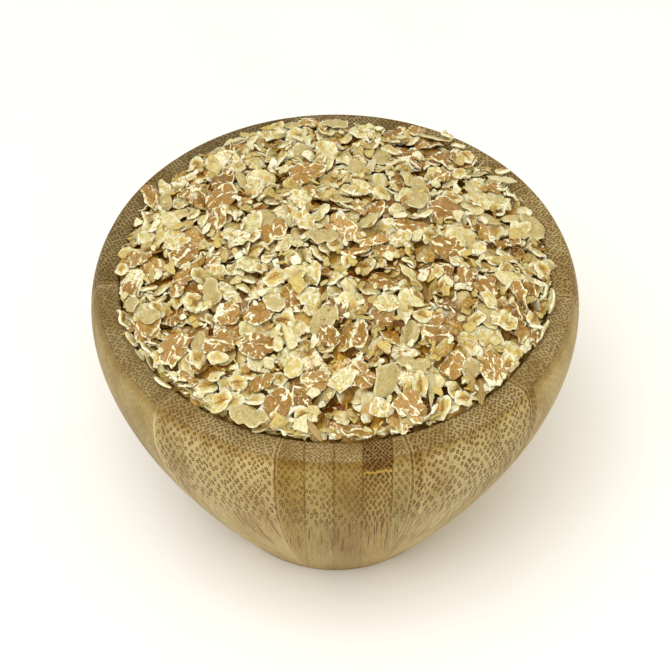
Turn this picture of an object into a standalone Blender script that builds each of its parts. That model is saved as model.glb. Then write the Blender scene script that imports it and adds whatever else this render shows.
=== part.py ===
"""A small turned bamboo bowl, heaped with mixed grain flakes.

Units are metres, +Z is up. The origin is the centre of the bowl's flat foot, on the surface it stands on.
The bowl is one solid. The heap is one solid too: a core that fills the bowl, with the flakes that show
on its outside fused to it.
"""

import math
from collections import namedtuple

import bmesh
import bpy
import numpy as np
from mathutils import Vector
from mathutils.bvhtree import BVHTree

# Bowl
BOWL_HEIGHT = 0.080
RIM_OUTER_RADIUS = 0.0582
RIM_INNER_RADIUS = 0.0525
RIM_EDGE_ROUND = 0.0008
RIM_ROUND_STEPS = 2
OUTER_TOP_FLARE = 0.0096  # how far out and down the rim's end of the outer curve is pulled
OUTER_TOP_DROP = 0.0167
OUTER_FOOT_FLARE = 0.0055
OUTER_FOOT_RISE = 0.0089
OUTER_STEPS = 14
FOOT_RADIUS = 0.031
FOOT_EDGE_ROUND = 0.0010
FLOOR_THICKNESS = 0.012
CAVITY_TOP_FLARE = 0.0015
CAVITY_TOP_DROP = 0.028
CAVITY_FLOOR_RADIUS = 0.020
CAVITY_FLOOR_REACH = 0.018
CAVITY_STEPS = 5
BOWL_SECTORS = 60

# Heap
FIT_GAP = 0.0003  # between the heap and the bowl
HEAP_CROWN = 0.0116  # height of the heap's middle over its edge
HEAP_EDGE_RISE = 0.0013  # the heap stands this far above the rim where it meets it
HEAP_CROWN_POWER = 2.3
CORE_SINK = 0.0010  # the core's surface lies this far under the settled flakes
CORE_BLUR = 0.0020  # radius over which the flakes' heights are averaged for the core
CORE_DEEPEST_DIP = 0.0024  # under the heap's smooth surface
CORE_RINGS = 11
CORE_SECTORS = 36
CORE_SIDE_DROP = 0.0036  # the core meets the wall no higher than this below the rim
SHOWN_FLAKES = 235
FLAKE_SIDES = 6
ROOT_SCALE = 0.55  # a fused flake narrows to this below, where it joins the core
ROOT_IN_CORE = 0.0006
EDGE_IN_CORE = 0.0003
MOST_RAISED = 0.0009  # a flake that needs to rise further to clear the rim is left to the loose mix
ALMOST_NOTHING = 1e-6
EDGE_PROBES = 5

# Flakes: share of the mix, length range, width over length, thickness
FlakeKind = namedtuple("FlakeKind", "share shortest longest narrowest widest thickness")
FLAKE_KINDS = {
    "wheat": FlakeKind(0.20, 0.0058, 0.0092, 0.68, 0.95, 0.0009),
    "oat": FlakeKind(0.40, 0.0036, 0.0062, 0.72, 1.00, 0.0011),
    "barley": FlakeKind(0.14, 0.0052, 0.0076, 0.70, 0.95, 0.0010),
    "rice": FlakeKind(0.15, 0.0058, 0.0094, 0.48, 0.66, 0.0007),
    "husk": FlakeKind(0.11, 0.0040, 0.0078, 0.20, 0.36, 0.0005),
}
Flake = namedtuple("Flake", "kind place turn length width thickness outline")

# The photograph's view, by which its flakes are found on the heap
EYE = np.array([0.0001, -0.3755, 0.4756])
EYE_PITCH = math.radians(48.05)  # below the horizon, looking along +Y
EYE_FOCUS = 2235.0  # pixels
PHOTO_MIDDLE = 335.5  # pixels

# The flakes that stand out: kind, column and row in the photograph, length and width in mm, turn in degrees
STANDING_OUT = (
    # left side, from the back to the front
    ("wheat", 217, 222, 7.2, 6.0, 90),
    ("wheat", 273, 233, 8.4, 7.2, 90),
    ("wheat", 184, 257, 8.6, 5.6, 40),
    ("wheat", 141, 262, 7.2, 6.0, 100),
    ("wheat", 228, 252, 8.2, 5.8, 0),
    ("oat", 194, 218, 5.0, 3.9, 70),
    ("barley", 301, 205, 5.8, 5.0, 150),
    ("barley", 304, 223, 6.0, 5.0, 90),
    ("oat", 269, 256, 4.4, 3.8, 90),
    ("barley", 311, 273, 7.4, 6.4, 120),
    ("rice", 323, 240, 8.0, 5.0, 10),
    ("rice", 340, 204, 6.2, 5.2, 120),
    ("oat", 284, 195, 5.0, 4.2, 170),
    ("barley", 257, 165, 6.4, 4.4, 60),
    ("oat", 250, 147, 5.6, 4.6, 0),
    ("oat", 238, 170, 5.4, 3.8, 60),
    ("oat", 123, 278, 4.0, 3.4, 90),
    ("oat", 149, 287, 4.6, 4.0, 0),
    ("wheat", 177, 291, 5.0, 4.4, 90),
    ("wheat", 184, 277, 7.0, 4.6, 0),
    ("oat", 199, 277, 4.6, 3.8, 150),
    ("oat", 190, 302, 4.6, 3.4, 60),
    ("wheat", 213, 267, 5.4, 4.0, 80),
    ("barley", 237, 269, 5.6, 4.8, 30),
    ("barley", 229, 294, 8.2, 5.4, 125),
    ("rice", 132, 311, 6.0, 3.8, 140),
    ("oat", 157, 310, 5.6, 3.6, 130),
    ("rice", 151, 322, 6.0, 3.6, 0),
    ("barley", 195, 322, 6.0, 3.4, 150),
    ("rice", 199, 344, 5.6, 4.4, 90),
    # along the back
    ("rice", 293, 125, 5.0, 3.8, 20),
    ("oat", 277, 131, 4.6, 3.6, 160),
    ("wheat", 309, 124, 5.4, 4.6, 0),
    ("rice", 335, 126, 7.4, 4.4, 0),
    ("barley", 329, 139, 7.0, 4.8, 0),
    ("husk", 336, 149, 5.8, 1.6, 10),
    ("rice", 300, 156, 5.0, 4.0, 60),
    ("wheat", 306, 176, 9.6, 6.6, 10),
    ("wheat", 313, 199, 5.0, 4.6, 120),
    ("barley", 345, 162, 6.4, 4.6, 160),
    ("rice", 357, 171, 5.4, 4.8, 90),
    ("husk", 288, 220, 6.2, 1.8, 100),
    ("wheat", 394, 142, 4.8, 3.4, 160),
    ("oat", 390, 150, 5.8, 3.8, 165),
    ("wheat", 417, 133, 5.4, 5.0, 90),
    ("rice", 431, 143, 9.2, 4.8, 150),
    ("oat", 447, 144, 4.6, 4.2, 60),
    ("oat", 458, 153, 4.6, 3.8, 60),
    ("oat", 465, 162, 5.4, 4.6, 120),
    ("rice", 478, 174, 5.6, 4.0, 130),
    ("barley", 450, 166, 6.6, 4.6, 160),
    ("wheat", 430, 163, 6.0, 4.6, 150),
    ("wheat", 416, 168, 4.6, 4.2, 90),
    ("wheat", 441, 180, 5.6, 4.0, 50),
    ("oat", 459, 181, 4.0, 3.2, 0),
    ("oat", 501, 181, 4.4, 3.2, 20),
    ("wheat", 493, 192, 4.6, 3.4, 160),
    ("husk", 501, 188, 8.4, 1.8, 165),
    ("oat", 453, 199, 6.0, 3.8, 155),
    # right side, from the back to the front
    ("wheat", 507, 245, 8.8, 6.6, 80),
    ("wheat", 448, 250, 9.0, 7.0, 165),
    ("wheat", 442, 212, 8.8, 6.8, 170),
    ("wheat", 409, 228, 7.4, 6.0, 0),
    ("barley", 400, 241, 5.4, 4.8, 40),
    ("rice", 417, 205, 6.6, 5.4, 60),
    ("barley", 481, 202, 9.0, 7.0, 170),
    ("barley", 459, 266, 5.8, 4.8, 20),
    ("oat", 390, 172, 4.4, 4.0, 45),
    ("rice", 533, 229, 9.0, 5.4, 110),
    ("oat", 428, 237, 4.4, 4.0, 0),
    ("oat", 437, 274, 4.6, 4.0, 120),
    ("wheat", 465, 281, 6.0, 4.6, 110),
    ("oat", 345, 187, 4.2, 4.0, 0),
    # the front half
    ("wheat", 291, 294, 8.2, 5.6, 90),
    ("wheat", 257, 346, 9.0, 7.0, 175),
    ("wheat", 220, 346, 7.8, 6.8, 0),
    ("wheat", 175, 354, 9.0, 6.8, 60),
    ("wheat", 228, 317, 7.4, 6.4, 30),
    ("wheat", 260, 314, 8.2, 6.2, 20),
    ("rice", 212, 297, 8.0, 4.9, 110),
    ("rice", 324, 320, 9.2, 5.4, 50),
    ("rice", 248, 422, 9.6, 5.2, 165),
    ("oat", 221, 406, 5.8, 5.2, 0),
    ("oat", 255, 405, 4.8, 4.4, 10),
    ("wheat", 280, 406, 8.6, 6.8, 60),
    ("oat", 280, 379, 5.0, 4.2, 90),
    ("oat", 198, 365, 5.6, 4.8, 60),
    ("oat", 218, 365, 5.0, 3.2, 0),
    ("barley", 216, 381, 5.6, 4.4, 100),
    ("oat", 238, 383, 4.6, 4.0, 0),
    ("wheat", 263, 385, 7.0, 6.0, 80),
    ("barley", 287, 353, 5.8, 5.2, 30),
    ("barley", 296, 327, 5.8, 5.2, 60),
    ("wheat", 316, 383, 8.0, 5.6, 0),
    ("wheat", 355, 336, 9.6, 7.4, 80),
    ("wheat", 360, 380, 8.0, 7.0, 150),
    ("wheat", 435, 339, 8.0, 5.8, 0),
    ("wheat", 493, 370, 8.8, 7.0, 90),
    ("rice", 386, 384, 9.4, 6.2, 60),
    ("rice", 411, 370, 6.0, 4.4, 150),
    ("oat", 420, 391, 5.8, 4.0, 90),
    ("husk", 432, 388, 13.0, 1.6, 88),
    ("oat", 455, 391, 5.4, 4.6, 40),
    ("oat", 463, 402, 5.2, 4.0, 20),
    ("oat", 442, 408, 6.0, 4.6, 60),
    ("wheat", 358, 430, 8.2, 5.8, 15),
    ("barley", 387, 307, 6.8, 6.0, 60),
    ("oat", 423, 319, 4.8, 4.2, 150),
    ("oat", 417, 297, 4.8, 4.2, 0),
    ("rice", 411, 332, 5.8, 4.2, 90),
    ("wheat", 409, 410, 7.4, 6.4, 130),
    ("barley", 383, 413, 6.6, 5.8, 150),
    ("barley", 343, 389, 6.8, 5.6, 20),
    ("barley", 504, 326, 7.4, 6.4, 120),
    ("wheat", 452, 366, 7.0, 6.0, 60),
    ("oat", 476, 322, 5.0, 4.4, 30),
)

# Flakes that stand on edge by the rim: kind, column, row, length, width, turn, slope to the left of the turn
ON_EDGE = (
    ("wheat", 519, 297, 8.2, 5.0, 115, 2.6),
    ("wheat", 527, 293, 7.6, 4.6, 115, 2.8),
    ("husk", 533, 299, 8.4, 3.2, 112, 2.6),
    ("wheat", 513, 310, 7.0, 3.8, 117, 2.2),
    ("oat", 543, 295, 5.4, 3.8, 69, 2.6),
    ("barley", 550, 305, 7.0, 4.4, 80, 3.4),
    ("wheat", 534, 336, 6.8, 4.0, 95, 2.6),
    ("barley", 543, 331, 6.0, 4.0, 69, 3.2),
    ("wheat", 155, 198, 9.0, 7.0, -77, 0.6),
    ("husk", 124, 251, 5.0, 2.0, -85, 1.5),
    ("oat", 123, 318, 6.0, 4.0, -75, 1.3),
    ("barley", 131, 338, 5.0, 3.4, -65, 1.2),
    ("wheat", 153, 341, 8.2, 5.0, -44, 1.0),
    ("oat", 147, 347, 5.8, 4.0, -49, 1.0),
    ("husk", 140, 353, 4.6, 2.4, -59, 1.2),
    ("barley", 163, 336, 5.4, 3.4, -45, 0.9),
    ("husk", 150, 362, 4.6, 2.4, -65, 1.2),
    ("wheat", 189, 379, 6.6, 4.4, -44, 0.9),
    ("husk", 199, 389, 6.4, 3.0, -33, 0.9),
    ("husk", 201, 397, 5.0, 2.2, -59, 1.2),
    ("oat", 162, 381, 5.0, 2.6, -42, 1.0),
)
EDGE_BURIED = 0.0016  # their lower edges lie this far below the heap's surface

MIX_SEED = 20417
GRID_STEP = 0.0003
GRID_HALF = 0.0600
LOOSE_DEPTH = 0.0060  # depth of loose flakes at the heap's surface
BED_DEPTH = 0.0012  # the flakes that stand out are laid when the pile is this far from full
FULL_WITHIN = 0.0001
MOST_FLAKES = 2500
LOW_SPOT_PULL = 4.0  # how strongly a falling flake seeks the low spots
BED_INSET = 0.45  # flakes keep this share of their width inside the wall as the bed fills
TOP_INSET = 0.22  # and this share as the top fills, so that some lie over the rim
MOST_PROUD = 0.0010  # a flake that would lie further above the heap's surface rolls off
BRIDGE_REACH = 0.0008
STEEPEST = 0.9  # steepest slope of a settled flake
TILT_STEPS = (0.15, 0.35, 0.6, 1.0)  # slopes tried at first, over the steepest
TILT_REFINEMENTS = (0.10, 0.05)
STUCK_SHARE = 0.12  # share of the flakes that stay leaning on their neighbours
STUCK_TRIES = 6


def heap_surface(radius):
    """Height that the heap is filled to, this far from its axis."""
    share = np.clip(radius / RIM_INNER_RADIUS, 0.0, 1.0)
    return BOWL_HEIGHT + HEAP_EDGE_RISE + HEAP_CROWN * (1.0 - share**HEAP_CROWN_POWER)


def new_flake(random, name=None):
    """A flake of the mix, with its size and uneven outline but no place yet."""
    names = list(FLAKE_KINDS)
    if name is None:
        name = names[random.choice(len(names), p=[FLAKE_KINDS[n].share for n in names])]
    kind = FLAKE_KINDS[name]
    length = random.uniform(kind.shortest, kind.longest)
    width = length * random.uniform(kind.narrowest, kind.widest)
    waves = np.arange(2, 7)
    outline = (
        waves,
        random.normal(0.0, 0.13, len(waves)) / waves,
        random.uniform(0.0, 2.0 * math.pi, len(waves)),
    )
    return Flake(name, None, None, length, width, kind.thickness, outline)


def outline_radius(flake, angle):
    """Distance from the flake's middle to its edge at this angle in its own plane."""
    waves, heights, phases = flake.outline
    oval = 1.0 / np.hypot(np.cos(angle) * 2.0 / flake.length, np.sin(angle) * 2.0 / flake.width)
    ripple = (heights * np.cos(np.multiply.outer(angle, waves) + phases)).sum(-1)
    return oval * (1.0 + ripple)


def turn_matrices(slopes, spin):
    """Rotations that spin a flat flake about +Z, then tip it to each slope (fall along x, fall along y)."""
    steep = np.sqrt(1.0 + (slopes**2).sum(1))
    nx, ny, nz = slopes[:, 0] / steep, slopes[:, 1] / steep, 1.0 / steep
    lean = np.empty((len(slopes), 3, 3))
    lean[:, 0] = np.stack([1.0 - nx * nx / (1.0 + nz), -nx * ny / (1.0 + nz), nx], 1)
    lean[:, 1] = np.stack([-nx * ny / (1.0 + nz), 1.0 - ny * ny / (1.0 + nz), ny], 1)
    lean[:, 2] = np.stack([-nx, -ny, nz], 1)
    c, s = math.cos(spin), math.sin(spin)
    return lean @ np.array([[c, -s, 0.0], [s, c, 0.0], [0.0, 0.0, 1.0]])


class Terrain:
    """Height of the pile over a square grid, with the number of the flake on top at each point."""

    def __init__(self):
        self.count = int(round(2.0 * GRID_HALF / GRID_STEP)) + 1
        axis = np.linspace(-GRID_HALF, GRID_HALF, self.count)
        self.x, self.y = np.meshgrid(axis, axis, indexing="ij")
        radius = np.hypot(self.x, self.y)
        self.surface = heap_surface(radius)
        self.height = self.surface - LOOSE_DEPTH
        self.height[radius > RIM_INNER_RADIUS - FIT_GAP] = BOWL_HEIGHT + FIT_GAP
        self.inside = radius < RIM_INNER_RADIUS - FIT_GAP
        self.owner = np.full(self.height.shape, -1)
        self.bridged = np.zeros(self.height.shape, bool)

    def index(self, value):
        near = np.rint((value + GRID_HALF) / GRID_STEP).astype(int)
        return np.clip(near, 0, self.count - 1)

    def low_spot(self, depth, random):
        """A point where the pile is still lower than this depth, the lower the likelier."""
        lack = np.maximum(self.surface - depth - self.height, 0.0)
        lack[~self.inside | self.bridged] = 0.0
        total = np.cumsum((lack**LOW_SPOT_PULL).ravel())
        if total[-1] <= 0.0:
            return None
        pick = np.searchsorted(total, random.uniform(0.0, total[-1]))
        return self.x.flat[pick], self.y.flat[pick]

    def lack(self):
        return (self.surface - self.height)[self.inside].mean()

    def mean_height(self, x, y):
        """The pile's height averaged over a small disc round x, y, or round the nearest place inside."""
        x, y = draw_in(x, y, RIM_INNER_RADIUS - FIT_GAP)
        near = self.inside & (np.hypot(self.x - x, self.y - y) < CORE_BLUR)
        return float(self.height[near].mean())

    def bridge(self, x, y):
        """Marks a spot that its neighbours bridge, so that no more flakes are aimed at it."""
        self.bridged |= np.hypot(self.x - x, self.y - y) < BRIDGE_REACH

    def rest(self, flake, x, y, spin, random):
        """The flake as it settles at x, y: tipped so that its middle lies as low as the pile lets it."""
        around = np.arange(12) * (math.pi / 6.0)
        reach = outline_radius(flake, around)
        rim = np.stack([np.cos(around) * reach, np.sin(around) * reach, 0.0 * around], 1)
        probes = np.concatenate([np.zeros((1, 3)), rim * 0.45, rim * 0.75, rim])
        ways = np.arange(10) * (math.pi / 5.0)
        spokes = np.stack([np.cos(ways), np.sin(ways)], 1) * STEEPEST
        tries = np.concatenate([np.zeros((1, 2))] + [spokes * step for step in TILT_STEPS])
        if random.uniform() < STUCK_SHARE:
            tries = tries[random.choice(len(tries), STUCK_TRIES, replace=False)]
        slope, level, turn = self.lowest(flake, x, y, spin, tries, probes)
        for step in TILT_REFINEMENTS:
            found = self.lowest(flake, x, y, spin, slope + spokes * step, probes)
            if found[1] < level:
                slope, level, turn = found
        return flake._replace(place=np.array([x, y, level]), turn=turn)

    def lowest(self, flake, x, y, spin, slopes, probes):
        """Of these slopes, the one at which the flake's middle lies lowest, with its level and rotation."""
        turns = turn_matrices(slopes, spin)
        down = turns[:, None, :, 2] * flake.thickness / 2.0
        points = np.einsum("mij,nj->mni", turns, probes) - down
        ground = self.height[self.index(points[..., 0] + x), self.index(points[..., 1] + y)]
        levels = (ground - points[..., 2]).max(1)
        low = int(levels.argmin())
        return slopes[low], levels[low], turns[low]

    def add(self, flake, number):
        """Raises the pile to the flake's upper face."""
        reach = flake.length * 0.7
        lo_x, hi_x = self.index(np.array([flake.place[0] - reach, flake.place[0] + reach]))
        lo_y, hi_y = self.index(np.array([flake.place[1] - reach, flake.place[1] + reach]))
        window = (slice(lo_x, hi_x + 1), slice(lo_y, hi_y + 1))
        normal = flake.turn[:, 2]
        top = flake.place + normal * flake.thickness / 2.0
        dx, dy = self.x[window] - top[0], self.y[window] - top[1]
        dz = -(normal[0] * dx + normal[1] * dy) / normal[2]
        flat = np.stack([dx, dy, dz], -1) @ flake.turn
        edge = outline_radius(flake, np.arctan2(flat[..., 1], flat[..., 0]))
        under = np.hypot(flat[..., 0], flat[..., 1]) <= edge
        higher = under & (top[2] + dz > self.height[window])
        self.height[window][higher] = (top[2] + dz)[higher]
        self.owner[window][higher] = number


def point_on_heap(column, row):
    """The point of the heap's smooth surface that the photograph shows at this pixel."""
    right = (column - PHOTO_MIDDLE) / EYE_FOCUS
    down = (row - PHOTO_MIDDLE) / EYE_FOCUS
    c, s = math.cos(EYE_PITCH), math.sin(EYE_PITCH)
    ray = np.array([right, c - down * s, -s - down * c])
    point = EYE
    for _ in range(12):
        point = EYE + ray * (heap_surface(math.hypot(point[0], point[1])) - EYE[2]) / ray[2]
    return point


def draw_in(x, y, furthest):
    """The place, moved towards the bowl's axis if it is further away than this."""
    share = min(1.0, furthest / max(math.hypot(x, y), 1e-9))
    return x * share, y * share


def fill(terrain, flakes, depth, inset, random):
    """Drops flakes of the mix into the low spots, until the pile is full to this depth under its surface."""
    while terrain.lack() > depth + FULL_WITHIN and len(flakes) < MOST_FLAKES:
        flake = new_flake(random)
        spot = terrain.low_spot(depth, random)
        if spot is None:
            break
        x, y = draw_in(*spot, RIM_INNER_RADIUS - FIT_GAP - inset * flake.width)
        flake = terrain.rest(flake, x, y, random.uniform(0.0, 2.0 * math.pi), random)
        if flake.place[2] > heap_surface(math.hypot(x, y)) + MOST_PROUD:
            terrain.bridge(*spot)
            continue
        terrain.add(flake, len(flakes))
        flakes.append(flake)


def lay_standing_out(terrain, flakes, random):
    """Lays the flakes that stand out where the photograph shows them, and those on edge by the rim."""
    for kind, column, row, length, width, turn in STANDING_OUT:
        flake = new_flake(random, kind)._replace(length=length / 1000.0, width=width / 1000.0)
        x, y, _ = point_on_heap(column, row)
        flake = terrain.rest(flake, x, y, math.radians(turn), random)
        terrain.add(flake, len(flakes))
        flakes.append(flake)
    for kind, column, row, length, width, turn, slope in ON_EDGE:
        flake = new_flake(random, kind)._replace(length=length / 1000.0, width=width / 1000.0)
        x, y, level = point_on_heap(column, row)
        way = math.radians(turn) + math.pi / 2.0
        slopes = np.array([[math.cos(way), math.sin(way)]]) * slope
        rise = flake.width / 2.0 * slope / math.hypot(slope, 1.0)
        place = np.array([x, y, level - EDGE_BURIED + rise])
        flake = flake._replace(place=place, turn=turn_matrices(slopes, math.radians(turn))[0])
        terrain.add(flake, len(flakes))
        flakes.append(flake)


def settle_flakes():
    """Fills the bowl with loose flakes. Returns them, their terrain, and which of them were laid by hand."""
    random = np.random.default_rng(MIX_SEED)
    terrain = Terrain()
    flakes = []
    fill(terrain, flakes, BED_DEPTH, BED_INSET, random)
    first = len(flakes)
    terrain.bridged[:] = False
    lay_standing_out(terrain, flakes, random)
    laid = np.arange(first, len(flakes))
    fill(terrain, flakes, 0.0, TOP_INSET, random)
    return flakes, terrain, laid


def bezier(start, start_handle, end_handle, end, steps):
    """Points along a cubic curve, both ends included."""
    t = np.linspace(0.0, 1.0, steps + 1)[:, None]
    a, b, c, d = (np.array(p) for p in (start, start_handle, end_handle, end))
    return a * (1 - t) ** 3 + b * 3 * t * (1 - t) ** 2 + c * 3 * t**2 * (1 - t) + d * t**3


def corner(centre, radius, first, last, steps):
    """Points of a rounded corner, from one angle to the other."""
    angles = np.linspace(first, last, steps + 1)
    return np.stack([centre[0] + radius * np.cos(angles), centre[1] + radius * np.sin(angles)], 1)


def outer_profile():
    """The bowl's outside as radius and height, from its foot up to its rim."""
    round_top = BOWL_HEIGHT - RIM_EDGE_ROUND
    wall = bezier(
        (FOOT_RADIUS, FOOT_EDGE_ROUND),
        (FOOT_RADIUS + OUTER_FOOT_FLARE, FOOT_EDGE_ROUND + OUTER_FOOT_RISE),
        (RIM_OUTER_RADIUS + OUTER_TOP_FLARE, round_top - OUTER_TOP_DROP),
        (RIM_OUTER_RADIUS, round_top),
        OUTER_STEPS,
    )
    foot = corner((FOOT_RADIUS - FOOT_EDGE_ROUND, FOOT_EDGE_ROUND), FOOT_EDGE_ROUND, -math.pi / 2, 0.0, 2)
    lip_centre = (RIM_OUTER_RADIUS - RIM_EDGE_ROUND, round_top)
    lip = corner(lip_centre, RIM_EDGE_ROUND, 0.0, math.pi / 2, RIM_ROUND_STEPS)
    return np.concatenate([[(0.0, 0.0)], foot[:-1], wall, lip[1:]])


def cavity_wall():
    """The bowl's inside as radius and height, from just under its rim down to the middle of its floor."""
    curve = bezier(
        (RIM_INNER_RADIUS, BOWL_HEIGHT - RIM_EDGE_ROUND),
        (RIM_INNER_RADIUS + CAVITY_TOP_FLARE, BOWL_HEIGHT - CAVITY_TOP_DROP),
        (CAVITY_FLOOR_RADIUS + CAVITY_FLOOR_REACH, FLOOR_THICKNESS),
        (CAVITY_FLOOR_RADIUS, FLOOR_THICKNESS),
        CAVITY_STEPS,
    )
    return np.concatenate([curve, [(0.0, FLOOR_THICKNESS)]])


def lathe(name, profile, sectors):
    """A solid turned about +Z from an outline that starts and ends on the axis."""
    mesh = bmesh.new()
    corners = [mesh.verts.new((radius, 0.0, height)) for radius, height in profile]
    edges = [mesh.edges.new(pair) for pair in zip(corners, corners[1:])]
    bmesh.ops.spin(
        mesh,
        geom=corners + edges,
        axis=(0.0, 0.0, 1.0),
        cent=(0.0, 0.0, 0.0),
        angle=2.0 * math.pi,
        steps=sectors,
        use_merge=True,
    )
    bmesh.ops.remove_doubles(mesh, verts=mesh.verts, dist=1e-6)
    bmesh.ops.recalc_face_normals(mesh, faces=mesh.faces)
    return new_object(name, mesh)


def new_object(name, mesh):
    data = bpy.data.meshes.new(name)
    mesh.to_mesh(data)
    mesh.free()
    thing = bpy.data.objects.new(name, data)
    bpy.context.scene.collection.objects.link(thing)
    return thing


def new_material(name, colour, roughness):
    material = bpy.data.materials.new(name)
    material.use_nodes = True
    shader = material.node_tree.nodes["Principled BSDF"]
    shader.inputs["Base Color"].default_value = (*colour, 1.0)
    shader.inputs["Roughness"].default_value = roughness
    shader.inputs["Metallic"].default_value = 0.0
    return material


def build_bowl():
    lip_centre = (RIM_INNER_RADIUS + RIM_EDGE_ROUND, BOWL_HEIGHT - RIM_EDGE_ROUND)
    inner_lip = corner(lip_centre, RIM_EDGE_ROUND, math.pi / 2, math.pi, RIM_ROUND_STEPS)
    profile = np.concatenate([outer_profile(), inner_lip[:-1], cavity_wall()])
    bowl = lathe("bowl", profile, BOWL_SECTORS)
    bowl.data.shade_smooth()
    bowl.data.set_sharp_from_angle(angle=math.radians(35.0))
    bowl.data.materials.append(new_material("bamboo", (0.52, 0.36, 0.19), 0.45))
    return bowl


def core_profile():
    """The core's outline: the cavity drawn in by the fit gap, closed over by the heap's smooth surface."""
    wall = cavity_wall()[::-1]
    slope = np.gradient(wall, axis=0)
    inward = np.stack([-slope[:, 1], slope[:, 0]], 1)
    inward /= np.linalg.norm(inward, axis=1)[:, None]
    side = wall + inward * FIT_GAP
    side[0, 0] = 0.0
    side = side[side[:, 1] < BOWL_HEIGHT - CORE_SIDE_DROP]
    radii = np.linspace(RIM_INNER_RADIUS - FIT_GAP, 0.0, CORE_RINGS + 1)
    return np.concatenate([side, np.stack([radii, heap_surface(radii)], 1)])


def build_core(terrain):
    """The heap's core, its top a coarse copy of the settled flakes' surface, a little below it."""
    core = lathe("heap", core_profile(), CORE_SECTORS)
    edge_height = heap_surface(RIM_INNER_RADIUS)
    for point in core.data.vertices:
        x, y, z = point.co
        if z > edge_height - FIT_GAP:
            lowest = heap_surface(math.hypot(x, y)) - CORE_DEEPEST_DIP
            point.co.z = max(terrain.mean_height(x, y) - CORE_SINK, lowest)
    return core


def skin_of(thing):
    mesh = bmesh.new()
    mesh.from_mesh(thing.data)
    tree = BVHTree.FromBMesh(mesh)
    mesh.free()
    return tree


def height_over_core(point, core_skin):
    """How far the point lies above the core's top, negative inside the core."""
    x, y = draw_in(point[0], point[1], RIM_INNER_RADIUS - 2.0 * FIT_GAP)
    above = Vector((x, y, BOWL_HEIGHT + 2.0 * HEAP_CROWN))
    top, *_ = core_skin.ray_cast(above, Vector((0.0, 0.0, -1.0)))
    return point[2] - top.z


def into_bowl(rings):
    """How far the flake with these rings would have to rise to clear the bowl's rim by the fit gap."""
    rings = np.array(rings)
    shares = np.linspace(0.0, 1.0, EDGE_PROBES)[:, None, None, None]
    along = rings * (1.0 - shares) + np.roll(rings, -1, axis=1) * shares
    down = rings[:-1] * (1.0 - shares) + rings[1:] * shares
    points = np.concatenate([along.reshape(-1, 3), down.reshape(-1, 3)])
    over_wall = np.hypot(points[:, 0], points[:, 1]) > RIM_INNER_RADIUS - FIT_GAP
    short = (BOWL_HEIGHT + FIT_GAP - points[over_wall, 2]).max(initial=0.0)
    return max(float(short), 0.0)


def flake_rings(flake, root):
    """The flake's upper edge, its lower edge, and the narrower end of a root that drops this far from it."""
    angles = np.arange(FLAKE_SIDES) * (2.0 * math.pi / FLAKE_SIDES)
    reach = outline_radius(flake, angles)
    edge = np.stack([np.cos(angles) * reach, np.sin(angles) * reach, 0.0 * angles], 1)
    half = np.array([0.0, 0.0, flake.thickness / 2.0])
    rings = [(edge + half) @ flake.turn.T, (edge - half) @ flake.turn.T]
    if root > 0.0:
        rings.append((edge * ROOT_SCALE - half) @ flake.turn.T - np.array([0.0, 0.0, root]))
    return [ring + flake.place for ring in rings]


def root_length(flake, core_skin):
    """How far the flake must reach below its underside to join the core: nothing where its edge dips in."""
    depth = max(-height_over_core(point, core_skin) for point in flake_rings(flake, 0.0)[1])
    if depth > EDGE_IN_CORE:
        return 0.0
    clearance = height_over_core(flake.place, core_skin) - flake.thickness / 2.0
    return max(clearance, 0.0) + ROOT_IN_CORE


def fused_flake(flake, core_skin):
    """A flake with few sides, joined to the core by a root if need be, or None where it meets the bowl."""
    rise = into_bowl(flake_rings(flake, 0.0))
    if rise > MOST_RAISED:
        return None
    flake = flake._replace(place=flake.place + np.array([0.0, 0.0, rise]))
    rings = flake_rings(flake, root_length(flake, core_skin))
    if into_bowl(rings) > ALMOST_NOTHING:
        rings = flake_rings(flake, 0.0)
    mesh = bmesh.new()
    loops = [[mesh.verts.new(point) for point in ring] for ring in rings]
    mesh.faces.new(loops[0])
    mesh.faces.new(loops[-1][::-1])
    for upper, lower in zip(loops, loops[1:]):
        for i in range(FLAKE_SIDES):
            j = (i + 1) % FLAKE_SIDES
            mesh.faces.new((upper[i], lower[i], lower[j], upper[j]))
    return new_object("flake", mesh)


def fuse(core, pieces):
    """Joins the pieces to the core by one Boolean union, and removes them."""
    group = bpy.data.collections.new("pieces to fuse")
    for piece in pieces:
        group.objects.link(piece)
    union = core.modifiers.new("fuse", "BOOLEAN")
    union.operation = "UNION"
    union.solver = "EXACT"
    union.operand_type = "COLLECTION"
    union.collection = group
    graph = bpy.context.evaluated_depsgraph_get()
    fused = bpy.data.meshes.new_from_object(core.evaluated_get(graph))
    core.modifiers.clear()
    core.data = fused
    for piece in pieces:
        bpy.data.objects.remove(piece)
    bpy.data.collections.remove(group)


def keep_outer_skin(thing):
    """Drops loose scraps and the walls of sealed hollows: all but the skin that reaches furthest."""
    mesh = bmesh.new()
    mesh.from_mesh(thing.data)
    midway = [point for point in mesh.verts if len(point.link_edges) == 2]
    bmesh.ops.dissolve_verts(mesh, verts=midway)
    bmesh.ops.dissolve_degenerate(mesh, edges=mesh.edges, dist=1e-7)
    bmesh.ops.triangulate(mesh, faces=mesh.faces)
    unseen = set(mesh.verts)
    skins = []
    while unseen:
        front = [unseen.pop()]
        skin = list(front)
        while front:
            point = front.pop()
            near = [edge.other_vert(point) for edge in point.link_edges]
            fresh = [other for other in near if other in unseen]
            unseen.difference_update(fresh)
            front += fresh
            skin += fresh
        skins.append(skin)
    skins.sort(key=len)
    loose = [point for skin in skins[:-1] for point in skin]
    bmesh.ops.delete(mesh, geom=loose, context="VERTS")
    mesh.to_mesh(thing.data)
    mesh.free()


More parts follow.
